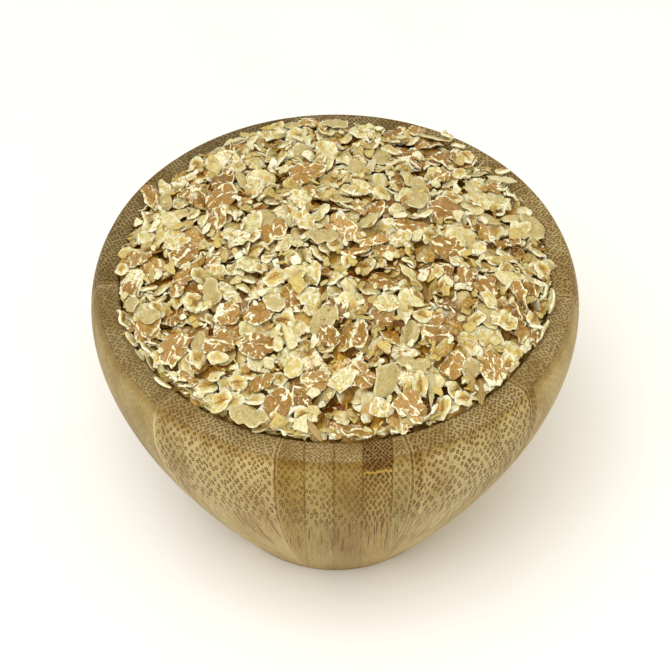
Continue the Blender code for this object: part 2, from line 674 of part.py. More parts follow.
def build_heap():
    flakes, terrain, laid = settle_flakes()
    seen = np.bincount(terrain.owner[terrain.owner >= 0], minlength=len(flakes))
    seen[laid] += seen.max()
    shown = np.argsort(-seen, kind="stable")[:SHOWN_FLAKES]
    core = build_core(terrain)
    core_skin = skin_of(core)
    pieces = [fused_flake(flakes[number], core_skin) for number in shown]
    fuse(core, [piece for piece in pieces if piece])
    keep_outer_skin(core)
    core.data.materials.append(new_material("grain flakes", (0.60, 0.42, 0.20), 0.65))
    return core


def main():
    for item in list(bpy.data.objects):
        bpy.data.objects.remove(item, do_unlink=True)
    build_bowl()
    build_heap()


main()
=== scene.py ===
"""The looks of a small bamboo bowl heaped with mixed grain flakes.

The bowl's wall is turned again with a finer outline. The heap is a core with the loose flakes over it: they
settle by the same rule and seed as in the part, so that each lies where its solid lies.
"""

import math
from collections import namedtuple

import bpy
import numpy as np
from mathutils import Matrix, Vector


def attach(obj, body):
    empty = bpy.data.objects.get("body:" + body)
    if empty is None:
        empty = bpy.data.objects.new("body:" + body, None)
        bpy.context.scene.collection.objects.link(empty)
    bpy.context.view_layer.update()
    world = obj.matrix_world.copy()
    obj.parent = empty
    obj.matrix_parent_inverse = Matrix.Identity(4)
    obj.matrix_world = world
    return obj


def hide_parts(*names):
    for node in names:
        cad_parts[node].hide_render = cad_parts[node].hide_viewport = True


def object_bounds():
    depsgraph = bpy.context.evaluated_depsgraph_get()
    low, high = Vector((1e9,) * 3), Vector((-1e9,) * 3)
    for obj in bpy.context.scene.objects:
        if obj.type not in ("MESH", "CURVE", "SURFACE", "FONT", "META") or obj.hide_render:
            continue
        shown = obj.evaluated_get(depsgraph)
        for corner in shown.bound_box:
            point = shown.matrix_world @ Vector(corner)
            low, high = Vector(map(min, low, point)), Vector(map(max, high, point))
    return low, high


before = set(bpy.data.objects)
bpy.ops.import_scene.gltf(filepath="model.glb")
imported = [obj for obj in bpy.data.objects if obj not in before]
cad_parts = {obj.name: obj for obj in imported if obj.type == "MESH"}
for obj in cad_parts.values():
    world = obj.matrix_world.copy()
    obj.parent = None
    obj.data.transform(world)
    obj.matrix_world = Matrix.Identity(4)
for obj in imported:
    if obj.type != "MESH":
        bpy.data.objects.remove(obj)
cad_box = [list(corner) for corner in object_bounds()]

# Bowl, as in the part
BOWL_HEIGHT = 0.080
RIM_OUTER_RADIUS = 0.0582
RIM_INNER_RADIUS = 0.0525
RIM_EDGE_ROUND = 0.0008
OUTER_TOP_FLARE = 0.0096
OUTER_TOP_DROP = 0.0167
OUTER_FOOT_FLARE = 0.0055
OUTER_FOOT_RISE = 0.0089
FOOT_RADIUS = 0.031
FOOT_EDGE_ROUND = 0.0010
FLOOR_THICKNESS = 0.012
CAVITY_TOP_FLARE = 0.0015
CAVITY_TOP_DROP = 0.028
CAVITY_FLOOR_RADIUS = 0.020
CAVITY_FLOOR_REACH = 0.018
WALL_STEPS = 90
LIP_STEPS = 8
CAVITY_STEPS = 12

# Heap, as in the part
FIT_GAP = 0.0003
HEAP_CROWN = 0.0116
HEAP_EDGE_RISE = 0.0013  # the heap stands this far above the rim where it meets it
HEAP_CROWN_POWER = 2.3

# Flakes: share of the mix, length range, width over length, thickness
FlakeKind = namedtuple("FlakeKind", "share shortest longest narrowest widest thickness")
FLAKE_KINDS = {
    "wheat": FlakeKind(0.20, 0.0058, 0.0092, 0.68, 0.95, 0.0009),
    "oat": FlakeKind(0.40, 0.0036, 0.0062, 0.72, 1.00, 0.0011),
    "barley": FlakeKind(0.14, 0.0052, 0.0076, 0.70, 0.95, 0.0010),
    "rice": FlakeKind(0.15, 0.0058, 0.0094, 0.48, 0.66, 0.0007),
    "husk": FlakeKind(0.11, 0.0040, 0.0078, 0.20, 0.36, 0.0005),
}
Flake = namedtuple("Flake", "kind place turn length width thickness outline")

# The photograph's view, by which its flakes are found on the heap
EYE = np.array([0.0001, -0.3755, 0.4756])
EYE_PITCH = math.radians(48.05)  # below the horizon, looking along +Y
EYE_FOCUS = 2235.0  # pixels
PHOTO_MIDDLE = 335.5  # pixels

# The flakes that stand out: kind, column and row in the photograph, length and width in mm, turn in degrees
STANDING_OUT = (
    # left side, from the back to the front
    ("wheat", 217, 222, 7.2, 6.0, 90),
    ("wheat", 273, 233, 8.4, 7.2, 90),
    ("wheat", 184, 257, 8.6, 5.6, 40),
    ("wheat", 141, 262, 7.2, 6.0, 100),
    ("wheat", 228, 252, 8.2, 5.8, 0),
    ("oat", 194, 218, 5.0, 3.9, 70),
    ("barley", 301, 205, 5.8, 5.0, 150),
    ("barley", 304, 223, 6.0, 5.0, 90),
    ("oat", 269, 256, 4.4, 3.8, 90),
    ("barley", 311, 273, 7.4, 6.4, 120),
    ("rice", 323, 240, 8.0, 5.0, 10),
    ("rice", 340, 204, 6.2, 5.2, 120),
    ("oat", 284, 195, 5.0, 4.2, 170),
    ("barley", 257, 165, 6.4, 4.4, 60),
    ("oat", 250, 147, 5.6, 4.6, 0),
    ("oat", 238, 170, 5.4, 3.8, 60),
    ("oat", 123, 278, 4.0, 3.4, 90),
    ("oat", 149, 287, 4.6, 4.0, 0),
    ("wheat", 177, 291, 5.0, 4.4, 90),
    ("wheat", 184, 277, 7.0, 4.6, 0),
    ("oat", 199, 277, 4.6, 3.8, 150),
    ("oat", 190, 302, 4.6, 3.4, 60),
    ("wheat", 213, 267, 5.4, 4.0, 80),
    ("barley", 237, 269, 5.6, 4.8, 30),
    ("barley", 229, 294, 8.2, 5.4, 125),
    ("rice", 132, 311, 6.0, 3.8, 140),
    ("oat", 157, 310, 5.6, 3.6, 130),
    ("rice", 151, 322, 6.0, 3.6, 0),
    ("barley", 195, 322, 6.0, 3.4, 150),
    ("rice", 199, 344, 5.6, 4.4, 90),
    # along the back
    ("rice", 293, 125, 5.0, 3.8, 20),
    ("oat", 277, 131, 4.6, 3.6, 160),
    ("wheat", 309, 124, 5.4, 4.6, 0),
    ("rice", 335, 126, 7.4, 4.4, 0),
    ("barley", 329, 139, 7.0, 4.8, 0),
    ("husk", 336, 149, 5.8, 1.6, 10),
    ("rice", 300, 156, 5.0, 4.0, 60),
    ("wheat", 306, 176, 9.6, 6.6, 10),
    ("wheat", 313, 199, 5.0, 4.6, 120),
    ("barley", 345, 162, 6.4, 4.6, 160),
    ("rice", 357, 171, 5.4, 4.8, 90),
    ("husk", 288, 220, 6.2, 1.8, 100),
    ("wheat", 394, 142, 4.8, 3.4, 160),
    ("oat", 390, 150, 5.8, 3.8, 165),
    ("wheat", 417, 133, 5.4, 5.0, 90),
    ("rice", 431, 143, 9.2, 4.8, 150),
    ("oat", 447, 144, 4.6, 4.2, 60),
    ("oat", 458, 153, 4.6, 3.8, 60),
    ("oat", 465, 162, 5.4, 4.6, 120),
    ("rice", 478, 174, 5.6, 4.0, 130),
    ("barley", 450, 166, 6.6, 4.6, 160),
    ("wheat", 430, 163, 6.0, 4.6, 150),
    ("wheat", 416, 168, 4.6, 4.2, 90),
    ("wheat", 441, 180, 5.6, 4.0, 50),
    ("oat", 459, 181, 4.0, 3.2, 0),
    ("oat", 501, 181, 4.4, 3.2, 20),
    ("wheat", 493, 192, 4.6, 3.4, 160),
    ("husk", 501, 188, 8.4, 1.8, 165),
    ("oat", 453, 199, 6.0, 3.8, 155),
    # right side, from the back to the front
    ("wheat", 507, 245, 8.8, 6.6, 80),
    ("wheat", 448, 250, 9.0, 7.0, 165),
    ("wheat", 442, 212, 8.8, 6.8, 170),
    ("wheat", 409, 228, 7.4, 6.0, 0),
    ("barley", 400, 241, 5.4, 4.8, 40),
    ("rice", 417, 205, 6.6, 5.4, 60),
    ("barley", 481, 202, 9.0, 7.0, 170),
    ("barley", 459, 266, 5.8, 4.8, 20),
    ("oat", 390, 172, 4.4, 4.0, 45),
    ("rice", 533, 229, 9.0, 5.4, 110),
    ("oat", 428, 237, 4.4, 4.0, 0),
    ("oat", 437, 274, 4.6, 4.0, 120),
    ("wheat", 465, 281, 6.0, 4.6, 110),
    ("oat", 345, 187, 4.2, 4.0, 0),
    # the front half
    ("wheat", 291, 294, 8.2, 5.6, 90),
    ("wheat", 257, 346, 9.0, 7.0, 175),
    ("wheat", 220, 346, 7.8, 6.8, 0),
    ("wheat", 175, 354, 9.0, 6.8, 60),
    ("wheat", 228, 317, 7.4, 6.4, 30),
    ("wheat", 260, 314, 8.2, 6.2, 20),
    ("rice", 212, 297, 8.0, 4.9, 110),
    ("rice", 324, 320, 9.2, 5.4, 50),
    ("rice", 248, 422, 9.6, 5.2, 165),
    ("oat", 221, 406, 5.8, 5.2, 0),
    ("oat", 255, 405, 4.8, 4.4, 10),
    ("wheat", 280, 406, 8.6, 6.8, 60),
    ("oat", 280, 379, 5.0, 4.2, 90),
    ("oat", 198, 365, 5.6, 4.8, 60),
    ("oat", 218, 365, 5.0, 3.2, 0),
    ("barley", 216, 381, 5.6, 4.4, 100),
    ("oat", 238, 383, 4.6, 4.0, 0),
    ("wheat", 263, 385, 7.0, 6.0, 80),
    ("barley", 287, 353, 5.8, 5.2, 30),
    ("barley", 296, 327, 5.8, 5.2, 60),
    ("wheat", 316, 383, 8.0, 5.6, 0),
    ("wheat", 355, 336, 9.6, 7.4, 80),
    ("wheat", 360, 380, 8.0, 7.0, 150),
    ("wheat", 435, 339, 8.0, 5.8, 0),
    ("wheat", 493, 370, 8.8, 7.0, 90),
    ("rice", 386, 384, 9.4, 6.2, 60),
    ("rice", 411, 370, 6.0, 4.4, 150),
    ("oat", 420, 391, 5.8, 4.0, 90),
    ("husk", 432, 388, 13.0, 1.6, 88),
    ("oat", 455, 391, 5.4, 4.6, 40),
    ("oat", 463, 402, 5.2, 4.0, 20),
    ("oat", 442, 408, 6.0, 4.6, 60),
    ("wheat", 358, 430, 8.2, 5.8, 15),
    ("barley", 387, 307, 6.8, 6.0, 60),
    ("oat", 423, 319, 4.8, 4.2, 150),
    ("oat", 417, 297, 4.8, 4.2, 0),
    ("rice", 411, 332, 5.8, 4.2, 90),
    ("wheat", 409, 410, 7.4, 6.4, 130),
    ("barley", 383, 413, 6.6, 5.8, 150),
    ("barley", 343, 389, 6.8, 5.6, 20),
    ("barley", 504, 326, 7.4, 6.4, 120),
    ("wheat", 452, 366, 7.0, 6.0, 60),
    ("oat", 476, 322, 5.0, 4.4, 30),
)

# Flakes that stand on edge by the rim: kind, column, row, length, width, turn, slope to the left of the turn
ON_EDGE = (
    ("wheat", 519, 297, 8.2, 5.0, 115, 2.6),
    ("wheat", 527, 293, 7.6, 4.6, 115, 2.8),
    ("husk", 533, 299, 8.4, 3.2, 112, 2.6),
    ("wheat", 513, 310, 7.0, 3.8, 117, 2.2),
    ("oat", 543, 295, 5.4, 3.8, 69, 2.6),
    ("barley", 550, 305, 7.0, 4.4, 80, 3.4),
    ("wheat", 534, 336, 6.8, 4.0, 95, 2.6),
    ("barley", 543, 331, 6.0, 4.0, 69, 3.2),
    ("wheat", 155, 198, 9.0, 7.0, -77, 0.6),
    ("husk", 124, 251, 5.0, 2.0, -85, 1.5),
    ("oat", 123, 318, 6.0, 4.0, -75, 1.3),
    ("barley", 131, 338, 5.0, 3.4, -65, 1.2),
    ("wheat", 153, 341, 8.2, 5.0, -44, 1.0),
    ("oat", 147, 347, 5.8, 4.0, -49, 1.0),
    ("husk", 140, 353, 4.6, 2.4, -59, 1.2),
    ("barley", 163, 336, 5.4, 3.4, -45, 0.9),
    ("husk", 150, 362, 4.6, 2.4, -65, 1.2),
    ("wheat", 189, 379, 6.6, 4.4, -44, 0.9),
    ("husk", 199, 389, 6.4, 3.0, -33, 0.9),
    ("husk", 201, 397, 5.0, 2.2, -59, 1.2),
    ("oat", 162, 381, 5.0, 2.6, -42, 1.0),
)
EDGE_BURIED = 0.0016  # their lower edges lie this far below the heap's surface

MIX_SEED = 20417
GRID_STEP = 0.0003
GRID_HALF = 0.0600
LOOSE_DEPTH = 0.0060  # depth of loose flakes at the heap's surface
BED_DEPTH = 0.0012  # the flakes that stand out are laid when the pile is this far from full
FULL_WITHIN = 0.0001
MOST_FLAKES = 2500
LOW_SPOT_PULL = 4.0  # how strongly a falling flake seeks the low spots
BED_INSET = 0.45  # flakes keep this share of their width inside the wall as the bed fills
TOP_INSET = 0.22  # and this share as the top fills, so that some lie over the rim
MOST_PROUD = 0.0010  # a flake that would lie further above the heap's surface rolls off
BRIDGE_REACH = 0.0008
STEEPEST = 0.9  # steepest slope of a settled flake
TILT_STEPS = (0.15, 0.35, 0.6, 1.0)  # slopes tried at first, over the steepest
TILT_REFINEMENTS = (0.10, 0.05)
STUCK_SHARE = 0.12  # share of the flakes that stay leaning on their neighbours
STUCK_TRIES = 6


def heap_surface(radius):
    """Height that the heap is filled to, this far from its axis."""
    share = np.clip(radius / RIM_INNER_RADIUS, 0.0, 1.0)
    return BOWL_HEIGHT + HEAP_EDGE_RISE + HEAP_CROWN * (1.0 - share**HEAP_CROWN_POWER)


def new_flake(random, name=None):
    """A flake of the mix, with its size and uneven outline but no place yet."""
    names = list(FLAKE_KINDS)
    if name is None:
        name = names[random.choice(len(names), p=[FLAKE_KINDS[n].share for n in names])]
    kind = FLAKE_KINDS[name]
    length = random.uniform(kind.shortest, kind.longest)
    width = length * random.uniform(kind.narrowest, kind.widest)
    waves = np.arange(2, 7)
    outline = (
        waves,
        random.normal(0.0, 0.13, len(waves)) / waves,
        random.uniform(0.0, 2.0 * math.pi, len(waves)),
    )
    return Flake(name, None, None, length, width, kind.thickness, outline)


def outline_radius(flake, angle):
    """Distance from the flake's middle to its edge at this angle in its own plane."""
    waves, heights, phases = flake.outline
    oval = 1.0 / np.hypot(np.cos(angle) * 2.0 / flake.length, np.sin(angle) * 2.0 / flake.width)
    ripple = (heights * np.cos(np.multiply.outer(angle, waves) + phases)).sum(-1)
    return oval * (1.0 + ripple)


def turn_matrices(slopes, spin):
    """Rotations that spin a flat flake about +Z, then tip it to each slope (fall along x, fall along y)."""
    steep = np.sqrt(1.0 + (slopes**2).sum(1))
    nx, ny, nz = slopes[:, 0] / steep, slopes[:, 1] / steep, 1.0 / steep
    lean = np.empty((len(slopes), 3, 3))
    lean[:, 0] = np.stack([1.0 - nx * nx / (1.0 + nz), -nx * ny / (1.0 + nz), nx], 1)
    lean[:, 1] = np.stack([-nx * ny / (1.0 + nz), 1.0 - ny * ny / (1.0 + nz), ny], 1)
    lean[:, 2] = np.stack([-nx, -ny, nz], 1)
    c, s = math.cos(spin), math.sin(spin)
    return lean @ np.array([[c, -s, 0.0], [s, c, 0.0], [0.0, 0.0, 1.0]])


class Terrain:
    """Height of the pile over a square grid, with the number of the flake on top at each point."""

    def __init__(self):
        self.count = int(round(2.0 * GRID_HALF / GRID_STEP)) + 1
        axis = np.linspace(-GRID_HALF, GRID_HALF, self.count)
        self.x, self.y = np.meshgrid(axis, axis, indexing="ij")
        radius = np.hypot(self.x, self.y)
        self.surface = heap_surface(radius)
        self.height = self.surface - LOOSE_DEPTH
        self.height[radius > RIM_INNER_RADIUS - FIT_GAP] = BOWL_HEIGHT + FIT_GAP
        self.inside = radius < RIM_INNER_RADIUS - FIT_GAP
        self.owner = np.full(self.height.shape, -1)
        self.bridged = np.zeros(self.height.shape, bool)

    def index(self, value):
        near = np.rint((value + GRID_HALF) / GRID_STEP).astype(int)
        return np.clip(near, 0, self.count - 1)

    def low_spot(self, depth, random):
        """A point where the pile is still lower than this depth, the lower the likelier."""
        lack = np.maximum(self.surface - depth - self.height, 0.0)
        lack[~self.inside | self.bridged] = 0.0
        total = np.cumsum((lack**LOW_SPOT_PULL).ravel())
        if total[-1] <= 0.0:
            return None
        pick = np.searchsorted(total, random.uniform(0.0, total[-1]))
        return self.x.flat[pick], self.y.flat[pick]

    def lack(self):
        return (self.surface - self.height)[self.inside].mean()

    def bridge(self, x, y):
        """Marks a spot that its neighbours bridge, so that no more flakes are aimed at it."""
        self.bridged |= np.hypot(self.x - x, self.y - y) < BRIDGE_REACH

    def rest(self, flake, x, y, spin, random):
        """The flake as it settles at x, y: tipped so that its middle lies as low as the pile lets it."""
        around = np.arange(12) * (math.pi / 6.0)
        reach = outline_radius(flake, around)
        rim = np.stack([np.cos(around) * reach, np.sin(around) * reach, 0.0 * around], 1)
        probes = np.concatenate([np.zeros((1, 3)), rim * 0.45, rim * 0.75, rim])
        ways = np.arange(10) * (math.pi / 5.0)
        spokes = np.stack([np.cos(ways), np.sin(ways)], 1) * STEEPEST
        tries = np.concatenate([np.zeros((1, 2))] + [spokes * step for step in TILT_STEPS])
        if random.uniform() < STUCK_SHARE:
            tries = tries[random.choice(len(tries), STUCK_TRIES, replace=False)]
        slope, level, turn = self.lowest(flake, x, y, spin, tries, probes)
        for step in TILT_REFINEMENTS:
            found = self.lowest(flake, x, y, spin, slope + spokes * step, probes)
            if found[1] < level:
                slope, level, turn = found
        return flake._replace(place=np.array([x, y, level]), turn=turn)

    def lowest(self, flake, x, y, spin, slopes, probes):
        """Of these slopes, the one at which the flake's middle lies lowest, with its level and rotation."""
        turns = turn_matrices(slopes, spin)
        down = turns[:, None, :, 2] * flake.thickness / 2.0
        points = np.einsum("mij,nj->mni", turns, probes) - down
        ground = self.height[self.index(points[..., 0] + x), self.index(points[..., 1] + y)]
        levels = (ground - points[..., 2]).max(1)
        low = int(levels.argmin())
        return slopes[low], levels[low], turns[low]

    def add(self, flake, number):
        """Raises the pile to the flake's upper face."""
        reach = flake.length * 0.7
        lo_x, hi_x = self.index(np.array([flake.place[0] - reach, flake.place[0] + reach]))
        lo_y, hi_y = self.index(np.array([flake.place[1] - reach, flake.place[1] + reach]))
        window = (slice(lo_x, hi_x + 1), slice(lo_y, hi_y + 1))
        normal = flake.turn[:, 2]
        top = flake.place + normal * flake.thickness / 2.0
        dx, dy = self.x[window] - top[0], self.y[window] - top[1]
        dz = -(normal[0] * dx + normal[1] * dy) / normal[2]
        flat = np.stack([dx, dy, dz], -1) @ flake.turn
        edge = outline_radius(flake, np.arctan2(flat[..., 1], flat[..., 0]))
        under = np.hypot(flat[..., 0], flat[..., 1]) <= edge
        higher = under & (top[2] + dz > self.height[window])
        self.height[window][higher] = (top[2] + dz)[higher]
        self.owner[window][higher] = number


def point_on_heap(column, row):
    """The point of the heap's smooth surface that the photograph shows at this pixel."""
    right = (column - PHOTO_MIDDLE) / EYE_FOCUS
    down = (row - PHOTO_MIDDLE) / EYE_FOCUS
    c, s = math.cos(EYE_PITCH), math.sin(EYE_PITCH)
    ray = np.array([right, c - down * s, -s - down * c])
    point = EYE
    for _ in range(12):
        point = EYE + ray * (heap_surface(math.hypot(point[0], point[1])) - EYE[2]) / ray[2]
    return point


def draw_in(x, y, furthest):
    """The place, moved towards the bowl's axis if it is further away than this."""
    share = min(1.0, furthest / max(math.hypot(x, y), 1e-9))
    return x * share, y * share


def fill(terrain, flakes, depth, inset, random):
    """Drops flakes of the mix into the low spots, until the pile is full to this depth under its surface."""
    while terrain.lack() > depth + FULL_WITHIN and len(flakes) < MOST_FLAKES:
        flake = new_flake(random)
        spot = terrain.low_spot(depth, random)
        if spot is None:
            break
        x, y = draw_in(*spot, RIM_INNER_RADIUS - FIT_GAP - inset * flake.width)
        flake = terrain.rest(flake, x, y, random.uniform(0.0, 2.0 * math.pi), random)
        if flake.place[2] > heap_surface(math.hypot(x, y)) + MOST_PROUD:
            terrain.bridge(*spot)
            continue
        terrain.add(flake, len(flakes))
        flakes.append(flake)


def lay_standing_out(terrain, flakes, random):
    """Lays the flakes that stand out where the photograph shows them, and those on edge by the rim."""
    for kind, column, row, length, width, turn in STANDING_OUT:
        flake = new_flake(random, kind)._replace(length=length / 1000.0, width=width / 1000.0)
        x, y, _ = point_on_heap(column, row)
        flake = terrain.rest(flake, x, y, math.radians(turn), random)
        terrain.add(flake, len(flakes))
        flakes.append(flake)
    for kind, column, row, length, width, turn, slope in ON_EDGE:
        flake = new_flake(random, kind)._replace(length=length / 1000.0, width=width / 1000.0)
        x, y, level = point_on_heap(column, row)
        way = math.radians(turn) + math.pi / 2.0
        slopes = np.array([[math.cos(way), math.sin(way)]]) * slope
        rise = flake.width / 2.0 * slope / math.hypot(slope, 1.0)
        place = np.array([x, y, level - EDGE_BURIED + rise])
        flake = flake._replace(place=place, turn=turn_matrices(slopes, math.radians(turn))[0])
        terrain.add(flake, len(flakes))
        flakes.append(flake)


def settle_flakes():
    """Fills the bowl with loose flakes. Returns them, their terrain, and which of them were laid one by one.
    """
    random = np.random.default_rng(MIX_SEED)
    terrain = Terrain()
    flakes = []
    fill(terrain, flakes, BED_DEPTH, BED_INSET, random)
    first = len(flakes)
    terrain.bridged[:] = False
    lay_standing_out(terrain, flakes, random)
    laid = np.arange(first, len(flakes))
    fill(terrain, flakes, 0.0, TOP_INSET, random)
    return flakes, terrain, laid


def bezier(start, start_handle, end_handle, end, steps):
    """Points along a cubic curve, both ends included."""
    t = np.linspace(0.0, 1.0, steps + 1)[:, None]
    a, b, c, d = (np.array(p) for p in (start, start_handle, end_handle, end))
    return a * (1 - t) ** 3 + b * 3 * t * (1 - t) ** 2 + c * 3 * t**2 * (1 - t) + d * t**3


def corner(centre, radius, first, last, steps):
    """Points of a rounded corner, from one angle to the other."""
    angles = np.linspace(first, last, steps + 1)
    return np.stack([centre[0] + radius * np.cos(angles), centre[1] + radius * np.sin(angles)], 1)


def outer_profile():
    """The bowl's outside as radius and height, from its foot up to its rim."""
    round_top = BOWL_HEIGHT - RIM_EDGE_ROUND
    wall = bezier(
        (FOOT_RADIUS, FOOT_EDGE_ROUND),
        (FOOT_RADIUS + OUTER_FOOT_FLARE, FOOT_EDGE_ROUND + OUTER_FOOT_RISE),
        (RIM_OUTER_RADIUS + OUTER_TOP_FLARE, round_top - OUTER_TOP_DROP),
        (RIM_OUTER_RADIUS, round_top),
        WALL_STEPS,
    )
    wall[:, 0] = np.minimum(wall[:, 0], cad_box[1][0])
    foot = corner((FOOT_RADIUS - FOOT_EDGE_ROUND, FOOT_EDGE_ROUND), FOOT_EDGE_ROUND, -math.pi / 2, 0.0, 4)
    lip_centre = (RIM_OUTER_RADIUS - RIM_EDGE_ROUND, round_top)
    lip = corner(lip_centre, RIM_EDGE_ROUND, 0.0, math.pi / 2, LIP_STEPS)
    return np.concatenate([foot[:-1], wall, lip[1:]])


def cavity_wall(steps):
    """The bowl's inside as radius and height, from just under its rim down to the edge of its floor."""
    return bezier(
        (RIM_INNER_RADIUS, BOWL_HEIGHT - RIM_EDGE_ROUND),
        (RIM_INNER_RADIUS + CAVITY_TOP_FLARE, BOWL_HEIGHT - CAVITY_TOP_DROP),
        (CAVITY_FLOOR_RADIUS + CAVITY_FLOOR_REACH, FLOOR_THICKNESS),
        (CAVITY_FLOOR_RADIUS, FLOOR_THICKNESS),
        steps,
    )


def bowl_profile():
    lip_centre = (RIM_INNER_RADIUS + RIM_EDGE_ROUND, BOWL_HEIGHT - RIM_EDGE_ROUND)
    inner_lip = corner(lip_centre, RIM_EDGE_ROUND, math.pi / 2, math.pi, LIP_STEPS)
    return np.concatenate([outer_profile(), inner_lip[:-1], cavity_wall(CAVITY_STEPS)])


# ---------------------------------------------------------------- meshes


def grid_faces(rows, columns):
    """Triangles over rows of points that run round, with a pole before the first row and after the last.

    Points are numbered pole, row by row, pole.
    """
    around = np.arange(columns)
    after = (around + 1) % columns
    start = 1 + np.arange(rows - 1)[:, None] * columns
    a, b = start + around, start + after
    c, d = a + columns, b + columns
    sides = np.stack([np.stack([a, b, d], -1), np.stack([a, d, c], -1)], 2).reshape(-1, 3)
    first = np.stack([np.zeros(columns, int), 1 + after, 1 + around], 1)
    base = 1 + (rows - 1) * columns
    last = np.stack([np.full(columns, 1 + rows * columns), base + around, base + after], 1)
    return np.concatenate([first, sides, last])


def new_mesh(name, points, faces, values):
    """A smooth object of triangles. The values are named numbers or vectors, one for each point."""
    data = bpy.data.meshes.new(name)
    data.vertices.add(len(points))
    data.vertices.foreach_set("co", np.ascontiguousarray(points, np.float32).ravel())
    data.loops.add(faces.size)
    data.loops.foreach_set("vertex_index", np.ascontiguousarray(faces, np.int32).ravel())
    data.polygons.add(len(faces))
    data.polygons.foreach_set("loop_start", np.arange(0, faces.size, 3, dtype=np.int32))
    data.polygons.foreach_set("use_smooth", np.ones(len(faces), bool))
    data.update(calc_edges=True)
    for key, numbers in values.items():
        add_values(data, key, "POINT", numbers)
    thing = bpy.data.objects.new(name, data)
    bpy.context.scene.collection.objects.link(thing)
    return thing


def add_values(data, key, domain, numbers):
    numbers = np.ascontiguousarray(numbers, np.float32)
    if numbers.ndim == 1:
        data.attributes.new(key, "FLOAT", domain).data.foreach_set("value", numbers)
    else:
        data.attributes.new(key, "FLOAT_VECTOR", domain).data.foreach_set("vector", numbers.ravel())


def add_unwrap(data, places):
    """Gives each corner of each triangle its place in a flat picture of the surface."""
    layer = data.uv_layers.new(name="OFBake")
    layer.uv.foreach_set("vector", np.ascontiguousarray(places, np.float32).ravel())


# ---------------------------------------------------------------- materials


def linear(red, green, blue):
    """A colour given as it looks on screen, 0 to 255, in the linear values that the shaders use."""
    screen = np.array([red, green, blue]) / 255.0
    light = np.where(screen <= 0.04045, screen / 12.92, ((screen + 0.055) / 1.055) ** 2.4)
    return (*(float(v) for v in light), 1.0)


GLOW_RADII = (1.0, 0.6, 0.25)  # red light spreads furthest
GLOW_REACH = 0.0007
# painted shade for flakes that lie down in the heap: darker and warmer
PAINTED_DEPTH_SHADE = linear(231, 187, 90)


def feed(socket, value):
    """Links a field to a node's input, or sets a value that is the same all over."""
    if isinstance(value, Field):
        socket.id_data.links.new(value.socket, socket)
    else:
        socket.default_value = value


def add_node(tree, kind, feeds, output=0, **settings):
    """Adds a node, sets it up and feeds its inputs. Returns what it gives out."""
    node = tree.nodes.new(kind)
    for key, value in settings.items():
        setattr(node, key, value)
    for key, value in feeds.items():
        feed(node.inputs[key], value)
    return Field(node.outputs[output])


class Field:
    """A number, vector or colour that varies over a surface. What is worked out from it is a field too.

    A sum or a product starts with a field, a difference may start with a number.
    """

    def __init__(self, socket):
        self.socket = socket

    def node(self, kind, feeds, output=0, **settings):
        """Adds a node to the tree that this field is in."""
        return add_node(self.socket.id_data, kind, feeds, output, **settings)

    def math(self, operation, *others):
        return self.node("ShaderNodeMath", dict(enumerate((self, *others))), operation=operation)

    def __add__(self, other):
        return self.math("ADD", other)

    def __sub__(self, other):
        return self.math("SUBTRACT", other)

    def __rsub__(self, other):
        return self.node("ShaderNodeMath", {0: other, 1: self}, operation="SUBTRACT")

    def __mul__(self, other):
        return self.math("MULTIPLY", other)

    def most(self, other):
        return self.math("MAXIMUM", other)

    def least(self, other):
        return self.math("MINIMUM", other)

    def near(self, number, within=0.5):
        """1 where the field is this number, to within so much, and 0 elsewhere"""
        return self.math("COMPARE", number, within)

    def step(self, low, high):
        """0 below low, 1 above high, smooth in between; falls instead where low is above high"""
        falls = low > high
        feeds = {"Value": self, "From Min": min(low, high), "From Max": max(low, high)}
        feeds.update({"To Min": float(falls), "To Max": float(not falls)})
        return self.node("ShaderNodeMapRange", feeds, "Result", interpolation_type="SMOOTHSTEP")

    def scatter(self):
        """A random number for each whole number"""
        return self.node("ShaderNodeTexWhiteNoise", {"W": self}, "Value", noise_dimensions="1D")

    def ramp(self, stops, interpolation="LINEAR"):
        """A colour for each number, by stops that each have a place and a colour"""
        colours = self.node("ShaderNodeValToRGB", {0: self}, "Color")
        band = colours.socket.node.color_ramp
        band.interpolation = interpolation
        while len(band.elements) < len(stops):
            band.elements.new(1.0)
        for element, (place, colour) in zip(band.elements, stops):
            element.position = place
            element.color = colour
        return colours

    def axes(self):
        split = self.node("ShaderNodeSeparateXYZ", {0: self}).socket.node
        return [Field(socket) for socket in split.outputs]

    def stretch(self, x, y, z):
        return self.node("ShaderNodeVectorMath", {0: self, 1: (x, y, z)}, operation="MULTIPLY")

    def warp(self, scale, detail, amount):
        """This vector, shifted unevenly by up to about this amount"""
        feeds = {0: self.noise(scale, detail, output="Color"), 1: (amount, amount, amount), 2: self}
        return self.node("ShaderNodeVectorMath", feeds, operation="MULTIPLY_ADD")

    def noise(self, scale, detail=2.0, rough=0.5, output="Fac"):
        """Cloudy unevenness over this vector, about 0.5"""
        feeds = {"Vector": self, "Scale": scale, "Detail": detail, "Roughness": rough}
        return self.node("ShaderNodeTexNoise", feeds, output, noise_dimensions="3D")

    def cells(self, scale, feature="F1", randomness=1.0):
        """Over this flat pattern, how far it is to the nearest scattered point or to a cell's edge"""
        feeds = {"Vector": self, "Scale": scale, "Randomness": randomness}
        return self.node("ShaderNodeTexVoronoi", feeds, "Distance", voronoi_dimensions="2D", feature=feature)


def join(x, y, z):
    """A vector of these axes, of which the first is a field"""
    return x.node("ShaderNodeCombineXYZ", {0: x, 1: y, 2: z})


def mix(share, first, second, how="MIX"):
    """The first colour where the share is 0, the second where it is 1"""
    feeds = {0: share, 6: first, 7: second}
    known = next(value for value in feeds.values() if isinstance(value, Field))
    return known.node("ShaderNodeMix", feeds, 2, data_type="RGBA", blend_type=how)


def tint(share, colour, shade):
    """The colour, multiplied by the shade as far as the share says"""
    return mix(share, colour, shade, "MULTIPLY")


